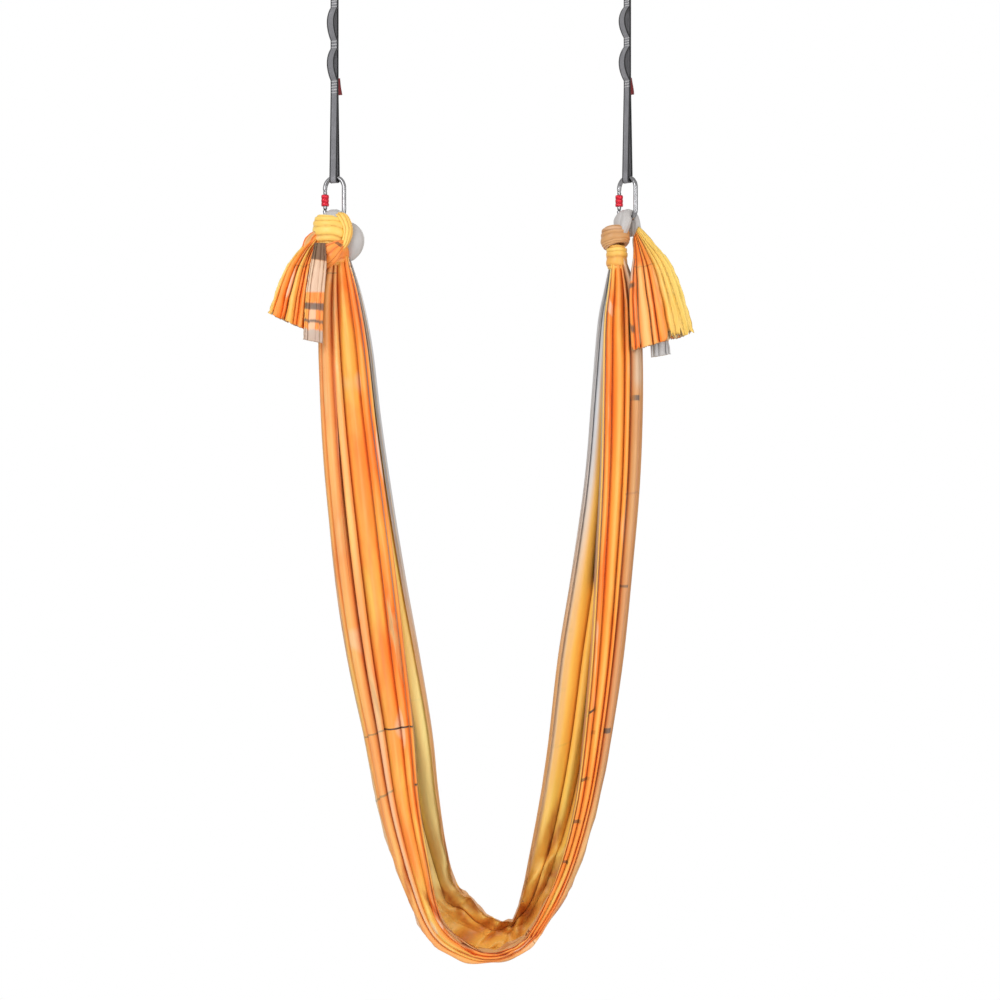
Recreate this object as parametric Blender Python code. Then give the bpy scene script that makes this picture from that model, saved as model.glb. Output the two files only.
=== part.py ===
"""Aerial hammock hung from two ceiling plates: straps, screw-gate carabiners and one knotted cloth.

Metres, +Z up, +X to the right seen from the front, which faces -Y. The origin lies on the ceiling
plane, midway between the two plates. Every size is a named value below; rows of shares are
fractions of the named size that they follow.
"""

import math

import bmesh
import bpy
from mathutils import Matrix, Vector

# Fit: the gap between pieces that touch, and how far a cutter runs past what it cuts
CLEARANCE = 0.0003
OVERRUN = 0.002

# Ceiling fittings
ANCHOR_SPACING = 0.6734
PLATE_LENGTH = 0.110
PLATE_WIDTH = 0.070
PLATE_THICKNESS = 0.006
PLATE_CORNER = 0.012
BOLT_HOLE = 0.009
BOLT_INSET = 0.015
EYE_BAR = 0.010
EYE_INNER_WIDTH = 0.024
EYE_DROP = 0.034

# Oval carabiner
CARABINER_STRAIGHT = 0.050
CARABINER_WIDTH = 0.060
CARABINER_BAR = 0.0105
GATE_DIAMETER = 0.009
HINGE_RISE = 0.005
NOSE_DROP = 0.0067
NOSE_GAP = 0.0007
NECK_LENGTH = 0.0040
TANG_THICKNESS = 0.003
TANG_HALF_WIDTH = 0.0032
RIVET_DIAMETER = 0.003
CATCH_PIN_DIAMETER = 0.0024
CATCH_DROP = 0.003
CATCH_HOOK = 0.0011
PIN_INSET = 0.0006
NOSE_TANG_REACH = 0.0058
SPRING_DIAMETER = 0.0042
SPRING_WIRE = 0.0007
GATE_PLUG = 0.0087
SLEEVE_DIAMETER = 0.018
SLEEVE_LIFT = 0.0047
GATE_SHOW = 0.0072
RIDGE_DEPTH = 0.0012
RIDGE_SHOULDER_SHARE = 0.30

# Straps: lengths run down from the upper carabiner's lower bar
STRAP_REACH = 0.5093
WEBBING_WIDTH = 0.019
WEBBING_THICKNESS = 0.0018
TACK_THREAD = 0.0003
POCKET_DEPTH = 0.018
LOOP_SIDE_GAP = 0.0006
TOP_LOOP_PLAY = 0.003
END_LOOP_PLAY = 0.0055
TOP_LOOP = 0.101
LABEL_THICKNESS = 0.0009
LABEL_TOP = 0.004
LABEL_BOTTOM = 0.010
LABEL_HEIGHT = 0.039
LABEL_LIFT = 0.003

# Each strap's tacks and pockets, from the top loop down, and how far it and its lower
# carabiner are turned to the side, in degrees
STRAPS = {
    "left": {
        "turn": 24.0,
        "lengths": (
            ("tack", 0.0185),
            ("pocket", 0.0736),
            ("tack", 0.0207),
            ("pocket", 0.0713),
            ("tack", 0.0322),
        ),
    },
    "right": {
        "turn": 44.0,
        "lengths": (
            ("tack", 0.0161),
            ("pocket", 0.0690),
            ("tack", 0.0230),
            ("pocket", 0.0759),
            ("tack", 0.0184),
        ),
    },
}

# Knots: each stretch of the cloth stacks under the last one, from the lower carabiner's bar down
EYE_SEAT = 0.006
EYE_RISE = 0.0024
WRAP_HEIGHT = 0.0455
COLLAR_HEIGHT = 0.057
KNOT_WIDTH = 0.090
KNOT_DEPTH = 0.070
COLLAR_WIDTH = 0.066
COLLAR_DEPTH = 0.056
EYE_WIDTH = 0.035
EYE_DEPTH = 0.056
LOBE_WIDTH = 0.031
LOBE_DEPTH = 0.040
LOBE_HEIGHT = 0.068
LOBE_PLACE_SHARE = 0.44

# Sling cloth: its drop runs from the collars to the lowest point, its depth from front to back
SLING_DROP = 1.589
BRANCH_DEPTH = 0.074
SEAT_DEPTH = 0.150
NECK_DEPTH = 0.050
FOLD_DEPTH = 0.009
SEAT_DISH_SHARE = 0.45

# Tails of the knots
TAIL_DROP = 0.235
TAIL_DEPTH = 0.030
TAIL_FORWARD = 0.056
TAIL_FOLD = 0.007

# Powers: how square a cloth section is round its edges (2 is an ellipse), and how full a pocket is
ROUNDNESS_SHARE = 2.6
BULGE_SHARE = 0.8

# Levels of the round foot of a gate, in degrees below its widest ring
FOOT_ANGLES = (-75, -50, -25, 0)

# Counts
BAR_SIDES = 12
ROUND_SIDES = 16
PIN_SIDES = 10
ARC_STEPS = 10
CORNER_STEPS = 3
LOOP_STEPS = 8
POCKET_STEPS = 10
TWIST_STEPS = 6
RIDGES = 3
SPRING_TURNS = 4
SPRING_STEPS = 8
SPRING_SIDES = 6
KNOT_SIDES = 24
SLING_STEPS = 44
SLING_FOLDS = 6
TAIL_STEPS = 10
TAIL_FOLDS = 4

# Places that follow from the sizes
HALF_SPACING = ANCHOR_SPACING / 2
EYE_Z = -PLATE_THICKNESS - EYE_DROP
BAR_RADIUS = CARABINER_BAR / 2
ARC_RADIUS = (CARABINER_WIDTH - CARABINER_BAR) / 2
HALF_STRAIGHT = CARABINER_STRAIGHT / 2
CARABINER_HEIGHT = CARABINER_STRAIGHT + CARABINER_WIDTH
BAR_REACH = HALF_STRAIGHT + ARC_RADIUS
UPPER_CENTRE_Z = EYE_Z + EYE_BAR / 2 + CLEARANCE + BAR_RADIUS - BAR_REACH
STRAP_TOP_Z = UPPER_CENTRE_Z - BAR_REACH
STRAP_END_Z = STRAP_TOP_Z - STRAP_REACH
LOWER_CENTRE_Z = STRAP_END_Z - BAR_REACH
HINGE_Z = HINGE_RISE - HALF_STRAIGHT
GATE_TOP_Z = HALF_STRAIGHT - NOSE_DROP
GATE_LENGTH = GATE_TOP_Z - HINGE_Z
GATE_RADIUS = GATE_DIAMETER / 2
HINGE_SLOT_TOP = TANG_HALF_WIDTH + CLEARANCE
NOSE_SLOT_FLOOR = GATE_LENGTH - NOSE_TANG_REACH - NOSE_GAP
SPRING_BASE = HINGE_SLOT_TOP + CLEARANCE
SPRING_LENGTH = NOSE_SLOT_FLOOR - GATE_PLUG - SPRING_WIRE - SPRING_BASE
SLEEVE_LENGTH = GATE_LENGTH - SLEEVE_LIFT - GATE_SHOW
KNOT_TOP_Z = LOWER_CENTRE_Z - CARABINER_HEIGHT / 2 - EYE_SEAT
COLLAR_TOP_Z = KNOT_TOP_Z - WRAP_HEIGHT
SLING_TOP_Z = COLLAR_TOP_Z - COLLAR_HEIGHT

# Base colour, roughness and metallic value of each material
FINISHES = {
    "polished_steel": ((0.62, 0.62, 0.64), 0.22, 1.0),
    "zinc_plate": ((0.55, 0.56, 0.58), 0.40, 1.0),
    "red_anodised": ((0.60, 0.01, 0.03), 0.35, 0.9),
    "spring_steel": ((0.35, 0.35, 0.37), 0.35, 1.0),
    "grey_webbing": ((0.22, 0.22, 0.24), 0.85, 0.0),
    "label_cloth": ((0.17, 0.01, 0.01), 0.80, 0.0),
    "sling_nylon": ((0.85, 0.42, 0.10), 0.45, 0.0),
}


def make_material(name, finish):
    """Return a Principled material of one of the finishes."""
    colour, roughness, metallic = FINISHES[finish]
    material = bpy.data.materials.new(name)
    material.use_nodes = True
    shader = material.node_tree.nodes["Principled BSDF"]
    shader.inputs["Base Color"].default_value = (*colour, 1.0)
    shader.inputs["Roughness"].default_value = roughness
    shader.inputs["Metallic"].default_value = metallic
    material.diffuse_color = (*colour, 1.0)
    return material


def make_pivot(name, parent, location):
    """Place an empty on a joint's axis."""
    empty = bpy.data.objects.new(name, None)
    empty.empty_display_size = EYE_BAR
    empty.parent = parent
    empty.location = location
    bpy.context.scene.collection.objects.link(empty)
    return empty


def make_piece(name, mesh, finish, parent, location=(0, 0, 0), turn=0.0):
    """Place a mesh as one named sub-part with its own material."""
    own = mesh.copy()
    own.name = name
    own.materials.clear()
    own.materials.append(make_material(name, finish))
    piece = bpy.data.objects.new(name, own)
    piece.parent = parent
    piece.location = location
    piece.rotation_euler.z = -math.radians(turn)
    bpy.context.scene.collection.objects.link(piece)
    return piece


def finish_mesh(bm, name="shape", smooth_below=40.0):
    """Turn a bmesh into a mesh with outward faces and smooth shading on round stretches."""
    bmesh.ops.recalc_face_normals(bm, faces=bm.faces)
    mesh = bpy.data.meshes.new(name)
    bm.to_mesh(mesh)
    bm.free()
    mesh.shade_smooth()
    mesh.set_sharp_from_angle(angle=math.radians(smooth_below))
    return mesh


def loft(bm, rings, closed=False):
    """Bridge rings of points in order, with a cap at each end unless the run is closed."""
    loops = [[bm.verts.new(point) for point in ring] for ring in rings]
    pairs = list(zip(loops, loops[1:]))
    if closed:
        pairs.append((loops[-1], loops[0]))
    for first, second in pairs:
        for index, vert in enumerate(first):
            after = (index + 1) % len(first)
            bm.faces.new((vert, first[after], second[after], second[index]))
    if not closed:
        bm.faces.new(loops[0])
        bm.faces.new(reversed(loops[-1]))


def lofted(rings, closed=False):
    """Return the mesh of one loft."""
    bm = bmesh.new()
    loft(bm, rings, closed)
    return finish_mesh(bm)


def circle(centre, across, up, radius, sides):
    """Return a ring of points round a centre, in the plane of two unit vectors."""
    ring = []
    for index in range(sides):
        angle = 2 * math.pi * index / sides
        ring.append(centre + radius * (math.cos(angle) * across + math.sin(angle) * up))
    return ring


def rod(start, end, radius, sides):
    """Return the mesh of a straight round bar between two points."""
    along = (end - start).normalized()
    across = along.orthogonal().normalized()
    up = along.cross(across)
    return lofted([circle(point, across, up, radius, sides) for point in (start, end)])


def prism(outline, half_thickness):
    """Return the mesh of an outline in X and Z, as thick both ways along Y."""
    rings = [[Vector((x, y, z)) for x, z in outline] for y in (-half_thickness, half_thickness)]
    return lofted(rings)


def arc_points(centre, radius, start, end, steps):
    """Return points along an arc in X and Z, angles in degrees."""
    points = []
    for index in range(steps + 1):
        angle = math.radians(start + (end - start) * index / steps)
        points.append((centre[0] + radius * math.cos(angle), centre[1] + radius * math.sin(angle)))
    return points


def carve(mesh, cuts=(), joins=()):
    """Return the mesh joined with some meshes and then cut by others."""
    scene = bpy.context.scene.collection
    body = bpy.data.objects.new("carved", mesh)
    scene.objects.link(body)
    helpers = []
    for operation, tools in (("UNION", joins), ("DIFFERENCE", cuts)):
        for tool in tools:
            helper = bpy.data.objects.new("cutter", tool)
            helper.hide_render = True
            helper.display_type = "WIRE"
            scene.objects.link(helper)
            modifier = body.modifiers.new(operation.lower(), "BOOLEAN")
            modifier.operation = operation
            modifier.object = helper
            modifier.solver = "EXACT"
            helpers.append(helper)
    bpy.context.view_layer.update()
    depsgraph = bpy.context.evaluated_depsgraph_get()
    result = bpy.data.meshes.new_from_object(body.evaluated_get(depsgraph))
    for item in [body, *helpers]:
        bpy.data.objects.remove(item)
    return result


def plate_mesh():
    """Steel ceiling plate with round corners and four bolt holes."""
    half_x = PLATE_LENGTH / 2
    half_y = PLATE_WIDTH / 2
    outline = []
    for quarter, (side_x, side_y) in enumerate(((1, 1), (-1, 1), (-1, -1), (1, -1))):
        corner = (side_x * (half_x - PLATE_CORNER), side_y * (half_y - PLATE_CORNER))
        outline += arc_points(corner, PLATE_CORNER, 90 * quarter, 90 * quarter + 90, CORNER_STEPS)
    rings = [[Vector((x, y, z)) for x, y in outline] for z in (-PLATE_THICKNESS, 0)]
    holes = []
    for side_x in (-1, 1):
        for side_y in (-1, 1):
            place = Vector((side_x * (half_x - BOLT_INSET), side_y * (half_y - BOLT_INSET), 0))
            below = place - Vector((0, 0, PLATE_THICKNESS + OVERRUN))
            above = place + Vector((0, 0, OVERRUN))
            holes.append(rod(below, above, BOLT_HOLE / 2, BAR_SIDES))
    return carve(lofted(rings), cuts=holes)


def eye_mesh():
    """U-bar welded under the plate, its origin at the middle of the bar's lowest point."""
    radius = (EYE_INNER_WIDTH + EYE_BAR) / 2
    top = EYE_DROP - CLEARANCE
    depth = Vector((0, 1, 0))
    rings = [circle(Vector((-radius, 0, top)), Vector((1, 0, 0)), depth, EYE_BAR / 2, BAR_SIDES)]
    for x, z in arc_points((0, radius), radius, 180, 360, ARC_STEPS):
        across = Vector((-x, 0, radius - z)).normalized()
        rings.append(circle(Vector((x, 0, z)), across, depth, EYE_BAR / 2, BAR_SIDES))
    rings.append(circle(Vector((radius, 0, top)), Vector((-1, 0, 0)), depth, EYE_BAR / 2, BAR_SIDES))
    return lofted(rings)


def carabiner_rings(bar_radius, full_top):
    """Rings along the carabiner's bar, from the hinge round the right side to the nose."""
    depth = Vector((0, 1, 0))
    rings = []
    for height, start in ((-HALF_STRAIGHT, 180), (HALF_STRAIGHT, 0)):
        for x, z in arc_points((0, height), ARC_RADIUS, start, start + 180, ARC_STEPS):
            across = Vector((x, 0, z - height)).normalized()
            rings.append(circle(Vector((x, 0, z)), across, depth, bar_radius, BAR_SIDES))
    nose = Vector((-ARC_RADIUS, 0, full_top))
    rings.append(circle(nose, Vector((-1, 0, 0)), depth, bar_radius, BAR_SIDES))
    return rings


def carabiner_mesh():
    """Oval frame with a riveted tang at the hinge and a hooked tang at the nose."""
    depth = Vector((0, 1, 0))
    outward = Vector((-1, 0, 0))
    neck_bottom = GATE_TOP_Z + NOSE_GAP
    neck_top = neck_bottom + NECK_LENGTH
    rings = carabiner_rings(BAR_RADIUS, neck_top)
    for height in (neck_top, neck_bottom):
        rings.append(circle(Vector((-ARC_RADIUS, 0, height)), outward, depth, GATE_RADIUS, BAR_SIDES))
    half = TANG_HALF_WIDTH
    foot = -HALF_STRAIGHT - TANG_HALF_WIDTH / 2
    hinge = [(-ARC_RADIUS - half, foot), (-ARC_RADIUS + half, foot)]
    hinge += arc_points((-ARC_RADIUS, HINGE_Z), half, 0, 180, LOOP_STEPS)
    pin_z = GATE_TOP_Z - CATCH_DROP
    low = GATE_TOP_Z - NOSE_TANG_REACH
    root = neck_bottom + TANG_HALF_WIDTH / 2
    inner = -ARC_RADIUS + half
    notch_side = -ARC_RADIUS - CATCH_PIN_DIAMETER / 2 - CLEARANCE
    notch_top = pin_z + CATCH_PIN_DIAMETER / 2 + CLEARANCE
    nose = [
        (-ARC_RADIUS - half, low),
        (inner, low),
        (inner, low + CATCH_HOOK),
        (notch_side, low + CATCH_HOOK),
        (notch_side, notch_top),
        (inner, notch_top),
        (inner, root),
        (-ARC_RADIUS - half, root),
    ]
    tangs = [prism(outline, TANG_THICKNESS / 2) for outline in (hinge, nose)]
    rivet = Vector((-ARC_RADIUS, 0, HINGE_Z))
    reach = depth * (TANG_THICKNESS + OVERRUN)
    hole = rod(rivet - reach, rivet + reach, RIVET_DIAMETER / 2 + CLEARANCE, PIN_SIDES)
    return carve(lofted(rings), cuts=[hole], joins=tangs)


def gate_mesh():
    """Hollow gate, its origin on the hinge, slotted over the frame's tangs at both ends."""
    sideways = Vector((1, 0, 0))
    depth = Vector((0, 1, 0))
    upward = Vector((0, 0, 1))
    rings = []
    for angle in FOOT_ANGLES:
        height = upward * (GATE_RADIUS * math.sin(math.radians(angle)))
        radius = GATE_RADIUS * math.cos(math.radians(angle))
        rings.append(circle(height, sideways, depth, radius, BAR_SIDES))
    rings.append(circle(upward * GATE_LENGTH, sideways, depth, GATE_RADIUS, BAR_SIDES))
    wide = GATE_RADIUS + OVERRUN
    slot_half = TANG_THICKNESS / 2 + CLEARANCE
    slots = []
    for low, high in ((-wide, HINGE_SLOT_TOP), (NOSE_SLOT_FLOOR, GATE_LENGTH + OVERRUN)):
        slots.append(prism([(-wide, low), (wide, low), (wide, high), (-wide, high)], slot_half))
    bore_end = SPRING_BASE + SPRING_LENGTH + SPRING_WIRE
    bore = rod(upward * 0, upward * bore_end, SPRING_DIAMETER / 2 + CLEARANCE, BAR_SIDES)
    holes = []
    for height, diameter in ((0, RIVET_DIAMETER), (GATE_LENGTH - CATCH_DROP, CATCH_PIN_DIAMETER)):
        start = upward * height - depth * wide
        end = upward * height + depth * wide
        holes.append(rod(start, end, diameter / 2 + CLEARANCE, PIN_SIDES))
    return carve(lofted(rings), cuts=[*slots, bore, *holes])


def cross_pin_mesh(diameter):
    """Pin across the gate, just short of the gate's round sides."""
    half = Vector((0, GATE_RADIUS - PIN_INSET, 0))
    return rod(-half, half, diameter / 2, PIN_SIDES)


def spring_mesh():
    """Gate spring standing in the gate's bore, above the hinge tang."""
    coil_radius = (SPRING_DIAMETER - SPRING_WIRE) / 2
    base = SPRING_BASE + SPRING_WIRE / 2
    pitch = SPRING_LENGTH / SPRING_TURNS
    rings = []
    for index in range(SPRING_TURNS * SPRING_STEPS + 1):
        turns = index / SPRING_STEPS
        angle = 2 * math.pi * turns
        outward = Vector((math.cos(angle), math.sin(angle), 0))
        centre = outward * coil_radius + Vector((0, 0, base + pitch * turns))
        rings.append(circle(centre, outward, Vector((0, 0, 1)), SPRING_WIRE / 2, SPRING_SIDES))
    return lofted(rings)


def sleeve_mesh():
    """Screw sleeve with raised ridges, its origin at the middle of its lower face."""
    outer = SLEEVE_DIAMETER / 2
    groove = outer - RIDGE_DEPTH
    bore = GATE_RADIUS + CLEARANCE
    pitch = SLEEVE_LENGTH / RIDGES
    shoulder = pitch * RIDGE_SHOULDER_SHARE
    profile = [(bore, 0)]
    for index in range(RIDGES):
        base = pitch * index
        profile += [(groove, base), (outer, base + shoulder), (outer, base + pitch - shoulder)]
    profile += [(groove, SLEEVE_LENGTH), (bore, SLEEVE_LENGTH)]
    rings = []
    for index in range(ROUND_SIDES):
        angle = 2 * math.pi * index / ROUND_SIDES
        rings.append([Vector((r * math.cos(angle), r * math.sin(angle), z)) for r, z in profile])
    return lofted(rings, closed=True)


def add_carabiner(shapes, level, side, parent, centre, turn):
    """Place one screw-gate carabiner: frame, gate, rivet, catch pin, gate spring and sleeve."""
    make_piece(f"{level}_carabiner_{side}", shapes["frame"], "polished_steel", parent, centre, turn)
    angle = math.radians(turn)
    offset = Vector((-ARC_RADIUS * math.cos(angle), ARC_RADIUS * math.sin(angle), HINGE_Z))
    gate_name = f"{level}_gate_{side}"
    gate = make_piece(gate_name, shapes["gate"], "polished_steel", parent, Vector(centre) + offset, turn)
    make_piece(f"{level}_rivet_{side}", shapes["rivet"], "polished_steel", parent, gate.location, turn)
    catch = (0, 0, GATE_LENGTH - CATCH_DROP)
    make_piece(f"{level}_catch_pin_{side}", shapes["catch_pin"], "polished_steel", gate, catch)
    make_piece(f"{level}_gate_spring_{side}", shapes["spring"], "spring_steel", gate)
    make_piece(f"{level}_sleeve_{side}", shapes["sleeve"], "red_anodised", gate, (0, 0, SLEEVE_LIFT))


def carabiner_shapes():
    """Return the meshes that all the carabiners share."""
    return {
        "frame": carabiner_mesh(),
        "gate": gate_mesh(),
        "rivet": cross_pin_mesh(RIVET_DIAMETER),
        "catch_pin": cross_pin_mesh(CATCH_PIN_DIAMETER),
        "spring": spring_mesh(),
        "sleeve": sleeve_mesh(),
    }


def strap_stations(side):
    """Rows down the strap: distance below its top bar, front and rear inner offset, and if sewn."""
    thread = TACK_THREAD / 2
    loop_half = BAR_RADIUS + LOOP_SIDE_GAP
    rows = []
    for index in range(TWIST_STEPS):
        share = index / TWIST_STEPS
        half = loop_half + (thread - loop_half) * share
        rows.append((TOP_LOOP * share, half, -half, False))
    down = TOP_LOOP
    for kind, length in STRAPS[side]["lengths"]:
        if kind == "tack":
            rows.append((down, thread, -thread, True))
        else:
            for index in range(POCKET_STEPS):
                bulge = POCKET_DEPTH * math.sin(math.pi * index / POCKET_STEPS) ** BULGE_SHARE
                rows.append((down + length * index / POCKET_STEPS, thread + bulge, -thread, False))
        down += length
    rows.append((down, thread, -thread, False))
    rows.append((STRAP_REACH, loop_half, -loop_half, False))
    return rows


def strap_mesh(side):
    """Webbing with an upper loop, two pockets and an end loop, turned as it hangs."""
    bm = bmesh.new()
    half_width = WEBBING_WIDTH / 2
    rows = strap_stations(side)
    columns = []
    for down, front, rear, sewn in rows:
        spots = (front + WEBBING_THICKNESS, front, rear, rear - WEBBING_THICKNESS)
        columns.append([bm.verts.new((-half_width, spot, -down)) for spot in spots])
    for index in range(len(rows) - 1):
        above = columns[index]
        below = columns[index + 1]
        spans = (0, 1, 2) if rows[index][3] else (0, 2)
        for span in spans:
            bm.faces.new((above[span], above[span + 1], below[span + 1], below[span]))
    for ends, height, start in (
        (columns[0], TOP_LOOP_PLAY, 1),
        (columns[-1], -STRAP_REACH - END_LOOP_PLAY, -1),
    ):
        half = (BAR_RADIUS + LOOP_SIDE_GAP, BAR_RADIUS + LOOP_SIDE_GAP + WEBBING_THICKNESS)
        previous = (ends[1], ends[0])
        for step in range(LOOP_STEPS + 1):
            angle = math.pi * step / LOOP_STEPS
            current = []
            for radius in half:
                spot = radius * math.cos(angle)
                rise = height + start * radius * math.sin(angle)
                current.append(bm.verts.new((-half_width, spot, rise)))
            bm.faces.new((previous[0], previous[1], current[1], current[0]))
            previous = current
        bm.faces.new((previous[0], previous[1], ends[3], ends[2]))
    sheet = bmesh.ops.extrude_face_region(bm, geom=bm.faces[:])
    for item in sheet["geom"]:
        if isinstance(item, bmesh.types.BMVert):
            item.co.x = half_width
    turn = STRAPS[side]["turn"]
    for vert in bm.verts:
        share = min(max(-vert.co.z / TOP_LOOP, 0.0), 1.0)
        angle = math.radians(90 + (turn - 90) * share)
        width, front = vert.co.x, vert.co.y
        vert.co.x = width * math.cos(angle) - front * math.sin(angle)
        vert.co.y = -width * math.sin(angle) - front * math.cos(angle)
    return finish_mesh(bm)


def label_mesh():
    """Small bare tab, its origin at the strap's edge at the tab's top."""
    outline = [(0, 0), (LABEL_TOP, 0), (LABEL_BOTTOM, -LABEL_HEIGHT), (0, -LABEL_HEIGHT)]
    return prism(outline, LABEL_THICKNESS / 2)


def add_strap(side, parent):
    """Place a strap and the label tab sewn at its lowest tack."""
    make_piece(f"strap_{side}", strap_mesh(side), "grey_webbing", parent)
    turn = STRAPS[side]["turn"]
    angle = math.radians(turn)
    sewn = TOP_LOOP + sum(length for kind, length in STRAPS[side]["lengths"][:-1])
    edge = WEBBING_WIDTH / 2 + CLEARANCE
    place = (edge * math.cos(angle), -edge * math.sin(angle), LABEL_LIFT - sewn)
    make_piece(f"label_tab_{side}", label_mesh(), "label_cloth", parent, place, turn)


def ellipse(centre, half_x, half_y, turn=0.0):
    """Return a level ring of points, drawn out along its own X by half_x."""
    angle = -math.radians(turn)
    across = Vector((math.cos(angle), math.sin(angle), 0))
    front = Vector((-math.sin(angle), math.cos(angle), 0))
    ring = []
    for index in range(KNOT_SIDES):
        spin = 2 * math.pi * index / KNOT_SIDES
        ring.append(centre + across * half_x * math.cos(spin) + front * half_y * math.sin(spin))
    return ring


def stack_mesh(shares, width, depth, height, turn=0.0, shift=0.0):
    """Return level rings as shares of a width, depth and height, from the top face down."""
    rings = []
    for down_share, width_share, depth_share, shift_share in shares:
        centre = Vector((shift + shift_share * width, 0, -down_share * height))
        rings.append(ellipse(centre, width_share * width / 2, depth_share * depth / 2, turn))
    return lofted(rings)


# Rows: share of the height down, of the width, of the depth, and of the width moved to +X
EYE_SHARES = (
    (0.00, 0.50, 0.30, 0),
    (0.09, 0.80, 0.46, 0),
    (0.27, 0.94, 0.68, 0),
    (0.45, 1.00, 0.86, 0),
    (0.62, 1.06, 0.96, 0),
    (0.80, 1.36, 1.02, 0),
    (1.00, 1.70, 1.06, 0),
)
WRAP_SHARES = {
    "left": (
        (0.00, 0.84, 0.86, -0.05),
        (0.25, 0.96, 1.00, -0.05),
        (0.55, 0.99, 1.02, -0.055),
        (0.85, 0.92, 0.94, -0.06),
        (1.00, 0.84, 0.84, -0.06),
    ),
    "right": (
        (0.00, 0.66, 0.86, -0.10),
        (0.25, 0.80, 1.00, -0.17),
        (0.55, 0.84, 1.02, -0.20),
        (0.85, 0.74, 0.94, -0.22),
        (1.00, 0.66, 0.80, -0.24),
    ),
}
COLLAR_SHARES = {
    "left": (
        (0.00, 0.92, 0.90, 0.05),
        (0.30, 1.00, 1.00, 0.12),
        (0.70, 0.98, 1.00, 0.20),
        (1.00, 0.84, 0.88, 0.26),
    ),
    "right": (
        (0.00, 0.66, 0.90, -0.36),
        (0.30, 0.74, 1.00, -0.36),
        (0.70, 0.72, 1.00, -0.33),
        (1.00, 0.62, 0.88, -0.28),
    ),
}
LOBE_SHARES = (
    (0.00, 0.50, 0.50, -0.10),
    (0.12, 0.80, 0.80, -0.05),
    (0.35, 1.00, 1.00, 0.00),
    (0.60, 0.94, 1.00, 0.06),
    (0.85, 0.66, 0.76, 0.16),
    (1.00, 0.34, 0.40, 0.22),
)

# The sling's outline, left branch first: outer edge and inner edge, each as X in half spacings
# and depth down as a share of the sling's drop, then its fullness: 0 neck, 1 branch, 2 seat
SLING_SHARES = (
    (-1.040, 0.000, -0.874, 0.000, 0.00),
    (-1.078, 0.035, -0.826, 0.035, 0.50),
    (-1.096, 0.110, -0.758, 0.110, 0.90),
    (-1.078, 0.215, -0.700, 0.215, 1.00),
    (-1.040, 0.330, -0.622, 0.330, 1.00),
    (-0.982, 0.446, -0.534, 0.446, 1.00),
    (-0.900, 0.560, -0.434, 0.560, 1.10),
    (-0.790, 0.672, -0.344, 0.672, 1.25),
    (-0.690, 0.776, -0.300, 0.756, 1.50),
    (-0.552, 0.872, -0.246, 0.836, 1.75),
    (-0.384, 0.955, -0.188, 0.898, 1.95),
    (-0.196, 0.990, -0.096, 0.935, 2.00),
    (0.052, 1.000, 0.056, 0.950, 2.00),
    (0.290, 0.983, 0.190, 0.938, 2.00),
    (0.502, 0.930, 0.262, 0.898, 1.90),
    (0.666, 0.858, 0.314, 0.850, 1.70),
    (0.794, 0.768, 0.372, 0.768, 1.45),
    (0.884, 0.672, 0.450, 0.672, 1.25),
    (0.962, 0.558, 0.536, 0.558, 1.10),
    (1.026, 0.430, 0.634, 0.430, 1.00),
    (1.074, 0.300, 0.720, 0.300, 1.00),
    (1.092, 0.170, 0.772, 0.170, 1.00),
    (1.080, 0.075, 0.812, 0.075, 0.75),
    (1.046, 0.028, 0.850, 0.028, 0.40),
    (1.000, 0.000, 0.886, 0.000, 0.00),
)

# Tails: the edge nearer the sling and the outer edge, each as X in half spacings off the knot and
# depth down as a share of the tail's drop, then how far forward and how deep the section is
TAIL_SHARES = {
    "left": (
        (-0.094, 0.000, -0.138, 0.000, 0.10, 0.50),
        (-0.100, 0.090, -0.205, 0.055, 0.45, 0.70),
        (-0.108, 0.270, -0.290, 0.220, 0.90, 0.90),
        (-0.104, 0.520, -0.360, 0.440, 1.00, 1.00),
        (-0.100, 0.780, -0.410, 0.600, 1.00, 1.00),
        (-0.098, 0.990, -0.420, 0.740, 1.00, 0.90),
    ),
    "right": (
        (0.0530, -0.020, 0.0665, -0.160, 0.10, 0.40),
        (0.052, 0.120, 0.150, 0.000, 0.50, 0.60),
        (0.040, 0.300, 0.235, 0.170, 0.95, 0.90),
        (0.030, 0.520, 0.320, 0.390, 1.00, 1.00),
        (0.040, 0.760, 0.380, 0.620, 1.00, 1.00),
        (0.090, 1.030, 0.430, 0.860, 1.00, 0.85),
    ),
}


def smooth_rows(rows, count):
    """Return rows read at even steps along a smooth curve through the given rows."""
    read = []
    last = len(rows) - 1
    for index in range(count + 1):
        spot = last * index / count
        at = min(int(spot), last - 1)
        t = spot - at
        p0 = rows[max(at - 1, 0)]
        p1 = rows[at]
        p2 = rows[at + 1]
        p3 = rows[min(at + 2, last)]
        row = []
        for a, b, c, d in zip(p0, p1, p2, p3):
            cubic = (2 * b) + (c - a) * t
            cubic += (2 * a - 5 * b + 4 * c - d) * t * t + (3 * b - a - 3 * c + d) * t * t * t
            row.append(cubic / 2)
        read.append(row)
    return read


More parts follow.
